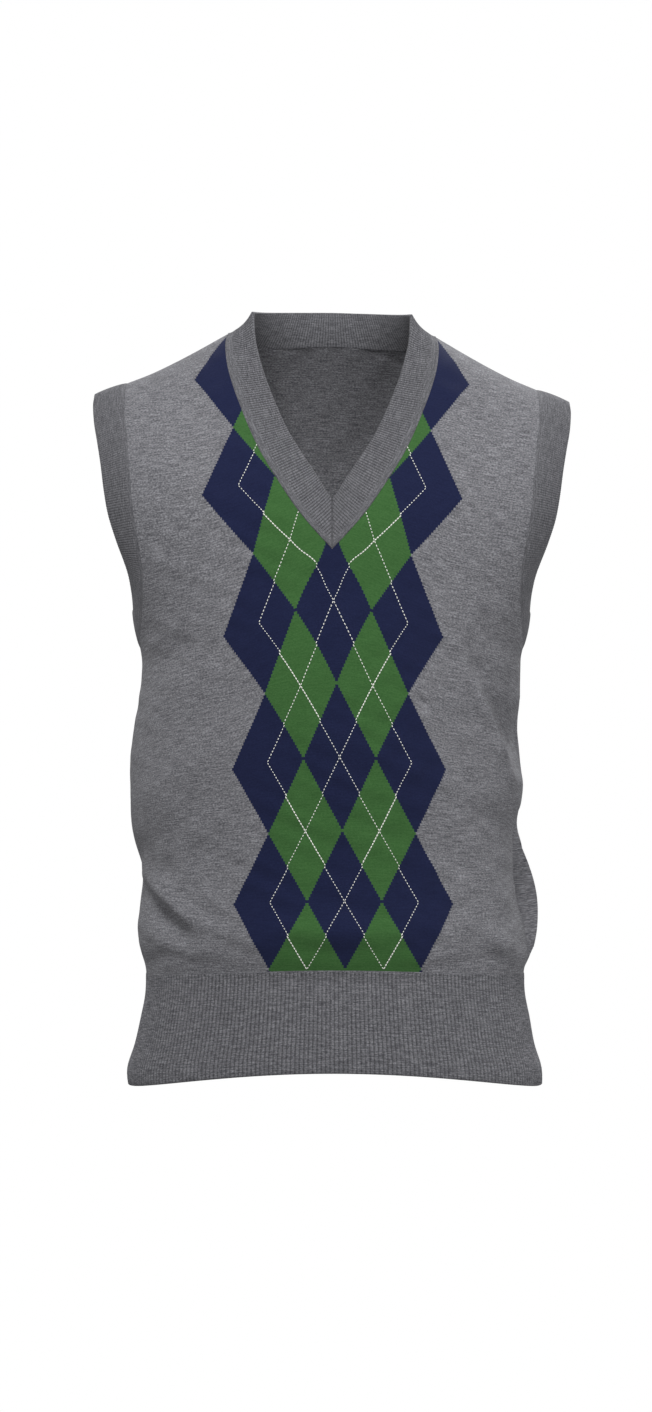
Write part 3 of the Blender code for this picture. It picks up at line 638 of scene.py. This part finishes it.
armbandSizes = {
    "rib": 2.05 * mm, "perRib": 6, "raise": 0.42 * mm, "plain": 3.5 * mm, "rows": 12, "inRows": 5,
    "flat": 0.5, "link": 0.35 * mm, "mitre": 0.0, "mitreWidth": 1.0 * mm, "valley": 0.7, "mottle": 0.75,
    # the lower value here darkens the armbands all over: painted shade, standing in for the shade under an
    # arm
    "toneAndShade": 0.91, "width": 30 * mm, "crown": 1.0 * mm,
}
hemSizes = {
    "rib": 3.25 * mm, "perRib": 8, "raise": 0.8 * mm, "plain": 1.0 * mm, "rows": 30,
    "flat": 0.4, "link": 0.4 * mm, "valley": 0.55, "mottle": 0.95, "toneAndShade": 1.0,
    "crowd": 1.3,                # more than 1 puts the rows closer by the seam
    "rise": 3.0 * mm,
    "ribbedFrom": 3.5 * mm,
    "wave": 0.5 * mm,            # slow swell between seam and edge, the product of two sines:
    "swells": ((0.21, 0.6), (0.083, 1.1)),      # turn for each rib, and where it starts
    "swellPast": 1.1,            # it has faded again just above the edge
}
hemEdge = {front: (-601 * mm, -618 * mm), back: (-610 * mm, -618 * mm)}

# how far each armband turns into its armhole, in degrees, from the underarm to the tip
armbandTurn = {
    front: tableOf(("round", "degrees"), [
        (0, 78), (0.12, 78), (0.28, 66), (0.4, 53), (0.52, 43), (0.7, 36), (0.86, 28), (1, 20)], 1.0),
    back: tableOf(("round", "degrees"), [
        (0, 78), (0.12, 76), (0.28, 64), (0.45, 50), (0.6, 42), (0.75, 36), (0.88, 28), (1, 20)], 1.0),
}


def ribShape(phase):
    # |cos(pi * phase)|^ribPower, a round ridge with a narrow valley: 1 on a rib, 0 between two
    return np.abs(np.cos(np.pi * phase)) ** ribWork["ribPower"]


def linkRow(sizes, fromSeam, phase):
    # the row of linked stitches beside a seam, two loops a rib:
    # exp(-(distance / width)^2) * (loopLow to 1 by |cos(2 * pi * phase)|)
    loops = mix(ribWork["loopLow"], 1, np.abs(np.cos(2 * np.pi * phase)))
    return sizes["link"] * np.exp(-((fromSeam - ribWork["linkAt"]) / ribWork["linkWidth"]) ** 2) * loops


def roundedEdge(tip, own, outward, bulge):
    # rings over a free edge: (half + bulge) * cos and half * sin round the middle of the wall
    half = ribWork["wall"] / 2
    for angle in np.radians((36, 72, 108, 144)):
        spread = half + bulge * max(np.cos(angle), 0)
        yield angle * half, tip - own * half + own * np.cos(angle) * spread + outward * np.sin(angle) * half


def makeBand(name, lines, sizes, flip, material):
    # place(t) = seam to edge, bowed by crown * 4 t (1 - t). The ribs stand square to the seam:
    # phase = (distance along the seam + slant of the row) / rib, mirrored half way round
    run, length = runOf(lines[0]), runAlong(lines[0])[-1]
    ribs = int(round(length / sizes["rib"] / 2)) * 2
    count = ribs * sizes["perRib"]
    seam, facing, edge, crown = (readAlong(line, run, np.arange(count) / count) for line in lines)
    facing, width = unitOf(facing), norm(edge - seam, axis=-1, keepdims=True)
    ahead, alongSeam = (np.roll(line, -3, axis=0) - np.roll(line, 3, axis=0) for line in (seam + edge, seam))
    own = unitOf(np.cross(ahead, edge - seam))
    own *= np.sign(np.sum(own * facing, axis=-1, keepdims=True))
    alongSeam = unitOf(alongSeam)
    alongSeam[:1] = alongSeam[1:2]
    last = 1 - ribWork["wall"] / 2 / width
    far = np.arange(count)[:, None] * length / count
    distance = np.minimum(far, length - far)
    slant = np.where(far > length / 2, -1, 1) * np.sum((edge - seam) * alongSeam, -1, keepdims=True)
    slant *= easeOf((ribWork["straightAt"] - seam[:, 2:]) / ribWork["squareBelow"])
    (growFrom, growTo), rings, spots = ribWork["grow"], [], []

    def phaseAt(at):
        return (distance + slant * at) * ribs / length

    def bowed(at):
        return mix(seam, edge, at) + own * crown * 4 * at * (1 - at)

    def outOf(at):
        return unitOf(mix(facing, own, easeOf(at / ribWork["turn"])))

    def addRing(points, at, v):
        rings.append(points)
        spots.append(np.concatenate([phaseAt(at) * sizes["rib"], v], axis=1))

    for share in np.linspace(0, 1, sizes["rows"]):
        at = share * last
        base, fromSeam = bowed(at), at * width
        ribbed = easeOf((fromSeam / sizes["plain"] - growFrom) / (growTo - growFrom))
        height = sizes["raise"] * mix(sizes["flat"], ribShape(phaseAt(at)), ribbed)
        height *= easeOf(fromSeam / ribWork["rise"])
        height += linkRow(sizes, fromSeam, phaseAt(at))
        height -= ribWork["sunk"] * np.exp(-(fromSeam / ribWork["sunkWidth"]) ** 2)
        groove = sizes["mitre"] * np.exp(-(base[:, :1] / sizes["mitreWidth"]) ** 2) * (base[:, 1:2] < 0)
        height -= groove * easeOf(fromSeam / ribWork["rise"] / 2)
        addRing(base + outOf(at) * height, at, fromSeam)
    bulge = sizes["raise"] * ribShape(phaseAt(last))
    for past, ring in roundedEdge(bowed(last), own, unitOf(edge - seam), bulge):
        addRing(ring, last, width + past)
    for share in np.linspace(1, 0, sizes["inRows"]):
        at = share * last
        addRing(bowed(at) - outOf(at) * ribWork["wall"], at, (2 - share) * width + 3 * mm)
    spots.append(np.stack([spots[0][:, 0], spots[-1][:, 1] + 2 * mm], -1))
    spots = np.array(spots)
    spots = np.concatenate([spots, spots[:, :1]], axis=1)
    return makeLoopedGrid(name, np.array(rings), spots, True, flip, material)


def makeNeckband(cloth, material):
    # round from the point of the V over the left shoulder, the back and the right one
    grids, normals, _ = cloth
    parts = []
    for side, hand, way in ((front, left, 1), (back, left, -1), (back, right, 1), (front, right, -1)):
        seam, facing = grids[side, hand][neckRow:, 0], normals[side, hand][neckRow:, 0]
        _, edge, crown = neckLine(side, hand, np.linspace(0, 1, len(seam)))
        parts.append([values[::way] for values in (seam, facing, edge, crown)])
    lines = [np.concatenate([part[k][:-1] for part in parts] + [parts[-1][k][-1:]]) for k in range(4)]
    return makeBand("neckband_rib", lines, neckbandSizes, False, material)


def makeArmband(name, hand, cloth, material):
    # the edge lies one width from the seam: across by cos(turn), and into the armhole by sin(turn)
    seam, facing = (roundSeam([values[side, hand][underarmRow:, -1] for side in sides])
                    for values in cloth[:2])
    turns = [smoothThrough(*armbandTurn[side].values(), runOf(cloth[0][side, hand][underarmRow:, -1]))
             for side in sides]
    turn = np.radians(roundSeam(turns))[:, None]
    ring = seam[:-1]
    along = np.roll(ring, -4, axis=0) - np.roll(ring, 4, axis=0)
    along[:, 0] = 0
    inward = unitOf(np.cross((1.0, 0, 0), along))
    inward *= np.sign(np.sum(inward * (ring.mean(axis=0) - ring) * (0, 1, 1)))
    for _ in range(6):
        inward = unitOf(np.roll(inward, 1, axis=0) + 2 * inward + np.roll(inward, -1, axis=0))
    inward = np.concatenate([inward, inward[:1]])
    edge = seam + armbandSizes["width"] * (np.cos(turn) * (hand, 0.0, 0.0) + np.sin(turn) * inward)
    crown = np.full(len(seam), armbandSizes["crown"])
    return makeBand(name, (seam, facing, edge, crown), armbandSizes, hand == left, material)


def hemHalf(side, hand, seam, shares, steps):
    # rows of the hem for one hand: level falls from the seam to the free edge by share
    middle, edge = hemEdge[side]
    seamMiddle, seamSide = seam[0, 2], seam[-1, 2]
    share = shares[:, None]
    turn = np.linspace(0, np.pi / 2, fineSamples)
    level = mix(seamSide, edge, share) + np.zeros_like(turn)
    for _ in range(10):
        x = halfBreadth(hand, level) * np.sin(turn) ** (2 / body["sectionPower"])
        across = (x / x[:, -1:]) ** 2
        reach = np.minimum(x / halfBreadth(hand, edge), 1.0) ** 2
        level = mix(mix(seamMiddle, seamSide, across), mix(edge, middle, 1 - reach), share)
    points = np.stack([hand * x, bodyY(side, hand, x, level), level], -1)
    points[:, -1, 1] = 0
    rows = evenAlong(points, steps)
    rows[0] = readAlong(seam, runOf(seam), np.linspace(0, 1, steps + 1))
    return rows


def makeHem(name, side, cloth, material):
    # vertical ribs hang from the panel's lowest row, the free edge rounded over the wall:
    # height = raise * ribShape(steps along / perRib) + linked row + wave
    seams, facings = ([values[side, hand][0] for hand in hands] for values in cloth[:2])
    sizes, half = hemSizes, ribWork["wall"] / 2
    ribs = int(round(np.mean([runAlong(seam)[-1] for seam in seams]) / sizes["rib"]))
    steps = ribs * sizes["perRib"]
    drop = abs(hemEdge[side][0] - seams[0][0, 2])
    shares = np.linspace(0, 1, sizes["rows"]) ** sizes["crowd"] * (1 - half / drop)
    halves = [hemHalf(side, hand, seam, shares, steps) for hand, seam in zip(hands, seams)]
    base = np.concatenate([halves[0][:, ::-1], halves[1][:, 1:]], axis=1)
    count = base.shape[1]
    byDown, byAcross = np.gradient(base, axis=(0, 1), edge_order=2)
    own = unitOf(np.cross(byAcross, byDown)) * side
    own[:, 0], own[:, -1] = (-1.0, 0, 0), (1.0, 0, 0)
    line = np.concatenate([facings[0][::-1], facings[1][1:]])
    own[0] = unitOf(readAlong(line, np.linspace(0, 1, len(line)), np.linspace(0, 1, count)))
    phase = (np.arange(count) - (count - 1) / 2) / sizes["perRib"]
    across, down = phase[None, :, None], (shares * drop)[:, None, None]
    wave = sizes["wave"] * np.sin(np.pi * np.minimum(shares * sizes["swellPast"], 1))[:, None, None]
    for turn, start in sizes["swells"]:
        wave = wave * np.sin(across * turn + start)
    ribbed = mix(sizes["flat"], ribShape(across), easeOf(down / sizes["ribbedFrom"]))
    height = sizes["raise"] * ribbed * easeOf(down / sizes["rise"]) + linkRow(sizes, down, across) + wave
    rings, vs = list(base + own * height), list(shares * drop)
    bulge = sizes["raise"] * ribShape(phase)[:, None]
    for past, ring in roundedEdge(base[-1], own[-1], unitOf(base[-1] - base[-2]), bulge):
        rings.append(ring)
        vs.append(drop + past)
    rings += list((base - own * ribWork["wall"] + own * wave)[::-1])
    vs += list((2 - shares[::-1]) * drop + 3 * mm)
    spots = np.stack(np.meshgrid(phase * sizes["rib"], vs + [vs[-1] + 2 * mm]), -1)
    return makeLoopedGrid(name, np.array(rings), spots, False, side == back, material)


# the overcheck is raised stitches laid over the knit
stitchSizes = {
    "gap": 1.1 * mm,             # bare knit between two raised stitches of one line
    "boldGap": 0.4 * mm,         # over the green, lines that run down towards the middle are fuller
    "width": 0.74 * mm,
    "boldWidth": 0.94 * mm,
    "height": 0.36 * mm,
    "sunk": 0.1 * mm,
    "rings": 5,                  # mesh of one stitch, along and round it
    "around": 6,
    "blunt": 0.7,                # less is a blunter end
    "miss": 0.3 * mm,            # a stitch further than this from its place is left out
}


def overcheckPlaces():
    # u and v of each raised stitch on the lines where u/a + v/b or u/a - v/b is odd, |u| <= 2a
    a, b, per = argyle["halfWidth"], argyle["halfHeight"], argyle["overcheckStitches"]
    v = (np.arange(0, 11 * per) + 0.5) * b / per
    found = []
    for odd in range(-13, 15, 2):
        for slope in (-1, 1):
            u = a * (odd + slope * v / b)
            u = (np.floor(u / argyle["wale"]) + 0.5) * argyle["wale"]
            found.append(np.stack([u, v, np.full_like(u, slope)], -1))
    found = np.concatenate(found)
    return found[np.abs(found[:, 0]) < 2 * a + 0.2 * mm]


def findOnGrid(grid, normal, places, wanted, step):
    # nearest grid point, then four steps along the grid's own u and v slopes
    spots = places.reshape(-1, 2)
    nearest = np.concatenate([np.argmin(((spots - part[:, None]) ** 2).sum(-1), axis=1)
                              for part in np.array_split(wanted, 30)])
    r, c = (found.astype(float) for found in np.divmod(nearest, places.shape[1]))
    byRow, byColumn = np.gradient(places, axis=(0, 1))

    def at(values):
        row, column = np.clip(r, 0, len(values) - 1.001), np.clip(c, 0, values.shape[1] - 1.001)
        r0, c0 = row.astype(int), column.astype(int)
        byR, byC = (row - r0)[:, None], (column - c0)[:, None]
        low, high = (mix(values[k, c0], values[k, c0 + 1], byC) for k in (r0, r0 + 1))
        return mix(low, high, byR)

    def inGrid(u, v):
        # how many rows and columns a small way in u and v is
        return (u * slopeC[:, 1] - v * slopeC[:, 0]) / scale, (slopeR[:, 0] * v - slopeR[:, 1] * u) / scale

    for _ in range(4):
        slopeR, slopeC = at(byRow), at(byColumn)
        scale = slopeR[:, 0] * slopeC[:, 1] - slopeR[:, 1] * slopeC[:, 0]
        moreR, moreC = inGrid(*(wanted - at(places)).T)
        r, c = r + moreR, c + moreC
    inside = (r > 0.2) & (r < places.shape[0] - 1.5) & (c >= 0) & (c < places.shape[1] - 1)
    inside &= norm(wanted - at(places), axis=-1) < stitchSizes["miss"]
    # one stitch on along the line is that far in rows and columns, and so in the room
    onRows, onColumns = inGrid(*step.T)
    ahead, beside = (at(values) for values in np.gradient(grid, axis=(0, 1)))
    onward = ahead * onRows[:, None] + beside * onColumns[:, None]
    return at(grid)[inside], unitOf(at(normal))[inside], onward[inside], inside


def makeStitches(cloth, places, material):
    # each stitch is a small oval bead, halfLength * cos along and width * sin round
    wanted = overcheckPlaces()
    step = wanted[:, 2:] * (argyle["halfWidth"], 0) + (0, argyle["halfHeight"])
    step /= argyle["overcheckStitches"]
    found = []
    for hand in hands:
        grid, normal, spots = (values[front, hand] for values in (*cloth[:2], places))
        place, facing, onward, inside = findOnGrid(grid, normal, spots, wanted[:, :2], step)
        found.append((place, facing, onward, wanted[inside, 2], wanted[inside, 0]))
    place, facing, onward, slope, u = (np.concatenate(part) for part in zip(*found))
    across = unitOf(np.cross(facing, onward))
    along = np.cross(across, facing)
    isBold = (slope * u > 0) & (np.abs(np.abs(u) / argyle["halfWidth"] - 1) < 0.5)
    gap = np.where(isBold, stitchSizes["boldGap"], stitchSizes["gap"])
    width = np.where(isBold, stitchSizes["boldWidth"], stitchSizes["width"])
    halfLength, halfWidth = ((size / 2)[:, None, None] for size in (norm(onward, axis=-1) - gap, width))
    rings, around = stitchSizes["rings"], stitchSizes["around"]
    angle = np.repeat(np.linspace(0, np.pi, rings + 2)[1:-1], around)
    turn = np.tile(np.arange(around) * 2 * np.pi / around, rings)
    girth = np.sin(angle) ** stitchSizes["blunt"]
    bead = np.stack([-np.cos(angle), np.cos(turn) * girth, np.sin(turn) * girth], -1)
    shape = np.concatenate([[(-1.0, 0, 0)], bead, [(1.0, 0, 0)]])
    x, y, z = (shape[None, :, k, None] for k in range(3))
    points = place[:, None] + x * halfLength * along[:, None] + y * halfWidth * across[:, None]
    points = points + ((z + 0.5) * stitchSizes["height"] - stitchSizes["sunk"]) * facing[:, None]
    start = (np.arange(len(place)) * len(shape))[:, None, None]
    ringNumbers = 1 + np.arange(rings)[:, None] * around + np.arange(around + 1)[None] % around
    low = np.stack([np.zeros(around, int), ringNumbers[0, 1:], ringNumbers[0, :-1]], -1)
    high = np.stack([np.full(around, len(shape) - 1), ringNumbers[-1, :-1], ringNumbers[-1, 1:]], -1)
    print("overcheck stitches:", len(place))
    faces = [(part[None] + start).reshape(-1, part.shape[-1])
             for part in (quadsOf(ringNumbers, False), low, high)]
    return addPiece("overcheck_stitches", points.reshape(-1, 3), faces, None, material)


woolColours = {
    "melange": "#6e6e72",
    "melangeDark": "#505055",
    "melangeLight": "#8f8f94",
    "rib": "#66666a",
    "ribDark": "#4a4a4f",
    "ribLight": "#85858a",
    "navy": "#121837",
    "navyLight": "#1e2647",
    "green": "#31582b",
    "greenLight": "#48703f",
    "offWhite": "#e6e6df",
    "floor": "#f4f3f1",
}
woolFinish = {
    "roughness": 0.95,
    "sheen": 0.05,                      # the bloom of loose fibre ends
    "streak": (13 * mm, 1.0 * mm),      # one heathered streak, across and up
    "grain": (1.7 * mm, 0.95 * mm),     # fibres of the other shade within it
    "shares": (0.42, 0.5, 0.08),        # weight of the streaks, the grain and the single stitches
    "spread": (0.345, 0.655),           # sums that are read as all dark and all light
    "relief": 0.35 * mm,
}


def linearOf(name):
    # sRGB hex to linear light
    values = [int(woolColours[name][k:k + 2], 16) / 255 for k in (1, 3, 5)]
    return tuple(c / 12.92 if c <= 0.04045 else ((c + 0.055) / 1.055) ** 2.4 for c in values) + (1.0,)


def addNode(tree, kind, inputs=(), output=0, **settings):
    # adds a node, makes its settings, links its inputs or gives them values, and returns one output
    node = tree.nodes.new("ShaderNode" + kind)
    for name, value in settings.items():
        setattr(node, name, value)
    for name, value in (inputs.items() if isinstance(inputs, dict) else enumerate(inputs)):
        if isinstance(value, bpy.types.NodeSocket):
            tree.links.new(value, node.inputs[name])
        else:
            node.inputs[name].default_value = value
    return node.outputs[output]


def newMaterial(name, roughness, sheen):
    material = bpy.data.materials.new(name)
    material.use_nodes = True
    shader = material.node_tree.nodes["Principled BSDF"]
    shader.inputs["Roughness"].default_value = roughness
    shader.inputs["Specular IOR Level"].default_value = 0.2
    shader.inputs["Sheen Weight"].default_value = sheen
    shader.inputs["Sheen Roughness"].default_value = 0.5
    return material, material.node_tree, shader


def heather(tree, uv, stitch):
    # spun melange, 0 to 1: streaks along the courses, a finer grain in them, and each
    # stitch a shade of its own
    streaks, grain, single = woolFinish["shares"]
    shares = []
    for size, detail, weight in ((woolFinish["streak"], 2.0, streaks), (woolFinish["grain"], 1.5, grain)):
        stretched = addNode(tree, "Mapping", {0: uv, 3: (1 / size[0], 1 / size[1], 1)})
        looks = {"Vector": stretched, "Scale": 1.0, "Detail": detail, "Roughness": 0.6}
        noise = addNode(tree, "TexNoise", looks, noise_dimensions="2D")
        shares.append(addNode(tree, "Math", (noise, weight), operation="MULTIPLY"))
    own = addNode(tree, "TexWhiteNoise", {"Vector": stitch}, noise_dimensions="2D")
    total = addNode(tree, "Math", shares, operation="ADD")
    total = addNode(tree, "Math", (own, single, total), operation="MULTIPLY_ADD")
    dark, light = woolFinish["spread"]
    return addNode(tree, "MapRange", {"Value": total, "From Min": dark, "From Max": light})


def melangeColour(tree, share, name):
    # dark fibre to base in the lower half of the share, base to light in the upper half
    colour = linearOf(name + "Dark")
    for start, towards in ((0.0, name), (0.5, name + "Light")):
        part = addNode(tree, "MapRange", {"Value": share, "From Min": start, "From Max": start + 0.5})
        colour = addNode(tree, "Mix", {0: part, 6: colour, 7: linearOf(towards)}, 2, data_type="RGBA")
    return colour


def stitchRelief(tree, u, v, wale, course):
    # two slanting strands a stitch: strand = 1 - (4 |across| - 1)^2, times 0.4 + 0.6 * notch,
    # where notch = sin(pi * part of the course)
    across = u
    for operation, *others in (("MULTIPLY", 1 / wale), ("FRACT",), ("SUBTRACT", 0.5), ("ABSOLUTE",)):
        across = addNode(tree, "Math", (across, *others), operation=operation)
    strand = across
    for operation, *others in (("MULTIPLY_ADD", 4.0, -1.0), ("POWER", 2.0), ("MULTIPLY_ADD", -1.0, 1.0)):
        strand = addNode(tree, "Math", (strand, *others), operation=operation)
    notch = addNode(tree, "Math", (v, 1 / course, across), operation="MULTIPLY_ADD")
    for operation, *others in (("FRACT",), ("MULTIPLY", np.pi), ("SINE",), ("MULTIPLY_ADD", 0.6, 0.4)):
        notch = addNode(tree, "Math", (notch, *others), operation=operation)
    return addNode(tree, "Math", (strand, notch), operation="MULTIPLY")


def newKnit(name, wale, course, relief):
    # wool knitted in loops: its material, the cloth's u and v, the whole number of the stitch
    # across and up, and how light the fibre is, 0 to 1
    material, tree, shader = newMaterial(name, woolFinish["roughness"], woolFinish["sheen"])
    uv = addNode(tree, "UVMap", uv_map="cloth")
    u, v = (addNode(tree, "SeparateXYZ", (uv,), k) for k in (0, 1))
    loops = stitchRelief(tree, u, v, wale, course)
    bump = addNode(tree, "Bump", {"Strength": 0.5, "Distance": relief, "Height": loops})
    tree.links.new(bump, shader.inputs["Normal"])
    cell = addNode(tree, "Mapping", {0: uv, 3: (1 / wale, 1 / course, 1)})
    stitch = addNode(tree, "VectorMath", (cell,), operation="FLOOR")
    return material, tree, shader, u, v, stitch, heather(tree, uv, stitch)


def plainKnit(name, argyled):
    # fine worsted wool, dark and light grey fibres spun together and knitted plain: dull and
    # soft to the eye, mottled along the courses, with a faint bloom where it turns away.
    # The argyle is knitted in, so its edges step by whole stitches
    wale, course = argyle["wale"], argyle["course"]
    material, tree, shader, _, _, stitch, share = newKnit(name, wale, course, woolFinish["relief"])
    colour = melangeColour(tree, share, "melange")
    if argyled:
        # column = |floor((u + v) / 2) + floor((u - v) / 2) + 1| in half diamonds:
        # 0 and 2 are navy, 1 green
        size = wale / argyle["halfWidth"] / 2, course / argyle["halfHeight"] / 2, 0
        for operation, other in (("ADD", (0.5, 0.5, 0)), ("MULTIPLY", size)):
            stitch = addNode(tree, "VectorMath", (stitch, other), operation=operation)
        across, up = (addNode(tree, "SeparateXYZ", (stitch,), k) for k in (0, 1))
        floors = []
        for operation in ("ADD", "SUBTRACT"):
            along = addNode(tree, "Math", (across, up), operation=operation)
            floors.append(addNode(tree, "Math", (along,), operation="FLOOR"))
        column = addNode(tree, "Math", floors, operation="ADD")
        for operation, *others in (("ADD", 1.0), ("ABSOLUTE",)):
            column = addNode(tree, "Math", (column, *others), operation=operation)
        isGreen = addNode(tree, "Math", (column, 1.0, 0.25), operation="COMPARE")
        isDiamond = addNode(tree, "Math", (column, 2.5), operation="LESS_THAN")
        soft = addNode(tree, "Math", (share, 0.5), operation="MULTIPLY")
        dyed = []
        for dye in ("navy", "green"):
            shades = {0: soft, 6: linearOf(dye), 7: linearOf(dye + "Light")}
            dyed.append(addNode(tree, "Mix", shades, 2, data_type="RGBA"))
        diamonds = addNode(tree, "Mix", {0: isGreen, 6: dyed[0], 7: dyed[1]}, 2, data_type="RGBA")
        colour = addNode(tree, "Mix", {0: isDiamond, 6: colour, 7: diamonds}, 2, data_type="RGBA")
    tree.links.new(colour, shader.inputs["Base Color"])
    return material


def ribKnit(name, sizes):
    # the same wool in one and one rib, darker by painted shade in each valley of a rib.
    # the painted valley shade is read from |cos(pi * u / rib)|, faded to a quarter over the plain strip
    # beside the seam
    material, tree, shader, u, v, _, share = newKnit(name, sizes["rib"], ribWork["course"], ribWork["relief"])
    mottle = sizes["mottle"]
    share = addNode(tree, "Math", (share, mottle, (1 - mottle) / 2), operation="MULTIPLY_ADD")
    colour = melangeColour(tree, share, "rib")
    # the wool's lightness scales the colour, and on the armbands it also carries painted shade
    wave, toneAndShade = u, sizes["toneAndShade"]
    for operation, *others in (("MULTIPLY", np.pi / sizes["rib"]), ("COSINE",), ("ABSOLUTE",)):
        wave = addNode(tree, "Math", (wave, *others), operation=operation)
    depth = addNode(tree, "MapRange", {"Value": wave, "From Min": 0.75, "From Max": 0.0})
    low, high = (part * sizes["plain"] for part in ribWork["grow"])
    ribbed = addNode(tree, "MapRange", {"Value": v, "From Min": low, "From Max": high})
    # painted shade: the valley mask on the ribs, and a flat quarter of it over the plain strip
    shade = addNode(tree, "Mix", {0: ribbed, 2: 0.25, 3: depth})
    shade = addNode(tree, "Math", (shade, (sizes["valley"] - 1) * toneAndShade, toneAndShade), operation="MULTIPLY_ADD")
    shaded = addNode(tree, "VectorMath", {0: colour, "Scale": shade}, operation="SCALE")
    tree.links.new(shaded, shader.inputs["Base Color"])
    return material


def whiteYarn():
    # soft off-white wool laid over the knit: bright and matt
    material, _, shader = newMaterial("off-white wool yarn", 0.9, 0.1)
    shader.inputs["Base Color"].default_value = linearOf("offWhite")
    return material


cloth = makeCloth()
grids, normals, flat = cloth
print("cloth surface worked out")
places = {(back, hand): plainPlaces(hand, flat[back, hand]) for hand in hands}
for hand in hands:
    places[front, hand] = frontPlaces(grids[front, hand], hand, flat[front, hand])

argyleKnit = plainKnit("argyle worsted wool", True)
plainGrey = plainKnit("grey melange worsted wool", False)
neckRib = ribKnit("grey melange wool neck rib", neckbandSizes)
armRib = ribKnit("grey melange wool armhole rib", armbandSizes)
hemRib = ribKnit("grey melange wool hem rib", hemSizes)

frontPiece = makePanel("front_knit", front, cloth, places, argyleKnit)
backPiece = makePanel("back_knit", back, cloth, places, plainGrey)
print("front and back panels made")
neckPiece = makeNeckband(cloth, neckRib)
armRight = makeArmband("armband_rib_right", right, cloth, armRib)
armLeft = makeArmband("armband_rib_left", left, cloth, armRib)
print("neckband and armbands made")
hemFront = makeHem("hem_rib_front_knit", front, cloth, hemRib)
hemBack = makeHem("hem_rib_back_knit", back, cloth, hemRib)
print("hem ribs made")
stitches = makeStitches(cloth, places, whiteYarn())

# each piece of cloth: its node, its flat width and length, its flat area where the cut isn't a
# rectangle, and what it is joined to. The bands are tubes, so their widths are all round
cloths = (
    (frontPiece, "front", (0.458, 0.586), 0.188, (backPiece,)),
    (backPiece, "back", (0.446, 0.600), 0.207, (frontPiece,)),
    (neckPiece, "neckband", (0.660, 0.032), None, (frontPiece, backPiece)),
    (armRight, "armband_right", (0.560, 0.030), None, (frontPiece, backPiece)),
    (armLeft, "armband_left", (0.560, 0.030), None, (frontPiece, backPiece)),
    (hemFront, "hem_rib_front", (0.465, 0.093), None, (frontPiece,)),
    (hemBack, "hem_rib_back", (0.465, 0.094), None, (backPiece,)),
)
for piece, node, flatSize, flatArea, joinedTo in cloths:
    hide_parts(node)
    print(piece.name, len(piece.data.vertices), "vertices", len(piece.data.polygons), "faces",
          round(sum(f.area for f in piece.data.polygons) / 2, 4), "m2 a side")

# room, light and camera
studio = {
    "floorLevel": -1.45,
    "floorRadius": 3.6,
    "floorGlow": 0.45,           # the paper is lit evenly from lamps of its own
    "floorBounce": 0.3,          # and gives back little of that light
    "room": 0.34,
    "behind": 1.0,               # white paper behind the vest
    "lampAim": (0, 0, -0.3),
    "cameraAt": (-0.0049, -4.0, -0.3083),
    "pixel": 0.82 * mm,          # at the vest, of 1412 up the picture
}


def studioPaper():
    # matt seamless paper, pale to the eye, with only a weak bounce
    material, tree, shader = newMaterial("pale studio paper", 1.0, 0.0)
    shader.inputs["Base Color"].default_value = linearOf("floor")
    shader.inputs["Emission Color"].default_value = (1, 1, 1, 1)
    shader.inputs["Emission Strength"].default_value = studio["floorGlow"]
    bounce = addNode(tree, "BsdfDiffuse", ((studio["floorBounce"],) * 3 + (1,),))
    isSeen = addNode(tree, "LightPath", output="Is Camera Ray")
    both = addNode(tree, "MixShader", (isSeen, bounce, shader.outputs[0]))
    tree.links.new(both, tree.nodes["Material Output"].inputs[0])
    return material


def makeFloor():
    # a round sheet of paper: radius * (cos, sin) at the floor's level
    turn = np.arange(96) * 2 * np.pi / 96
    ring = np.stack([np.cos(turn), np.sin(turn), np.zeros(96)], -1) * studio["floorRadius"]
    mesh = bpy.data.meshes.new("studio_floor")
    mesh.from_pydata((ring + (0, 0, studio["floorLevel"])).tolist(), [], [list(range(96))])
    mesh.materials.append(studioPaper())
    addObject("studio_floor", mesh)


def addLamp(name, place, size, power):
    lamp = bpy.data.lights.new(name, "AREA")
    lamp.shape, lamp.size, lamp.energy = "SQUARE", size, power
    holder = addObject(name, lamp)
    holder.location = place
    holder.rotation_euler = (Vector(studio["lampAim"]) - Vector(place)).to_track_quat("-Z", "Y").to_euler()


makeFloor()
addLamp("soft box above", (-0.5, -1.8, 1.75), 0.7, 54)
addLamp("soft box front", (1.3, -3.0, 0.5), 1.4, 24)
addLamp("soft box right", (2.6, -0.9, 0.5), 1.6, 21)
addLamp("soft box behind", (0.9, 1.9, 1.75), 0.9, 60)
addLamp("soft box beside", (-2.6, 1.2, 0.6), 1.6, 22)

world = bpy.data.worlds.new("soft room")
world.use_nodes = True
sky = world.node_tree
lit = sky.nodes["Background"]
lit.inputs[0].default_value = (1, 1, 1, 1)
lit.inputs[1].default_value = studio["room"]
seen = addNode(sky, "Background", ((1, 1, 1, 1), studio["behind"]))
isSeen = addNode(sky, "LightPath", output="Is Camera Ray")
both = addNode(sky, "MixShader", (isSeen, lit.outputs[0], seen))
sky.links.new(both, sky.nodes["World Output"].inputs[0])
bpy.context.scene.world = world
bpy.context.scene.view_settings.view_transform = "Standard"

cameraData = bpy.data.cameras.new("camera")
cameraData.sensor_width = 36
cameraData.lens = 36 * 4 / (1412 * studio["pixel"])
camera = addObject("camera", cameraData)
camera.location = studio["cameraAt"]
camera.rotation_euler = (radians(90), 0, 0)
bpy.context.scene.camera = camera
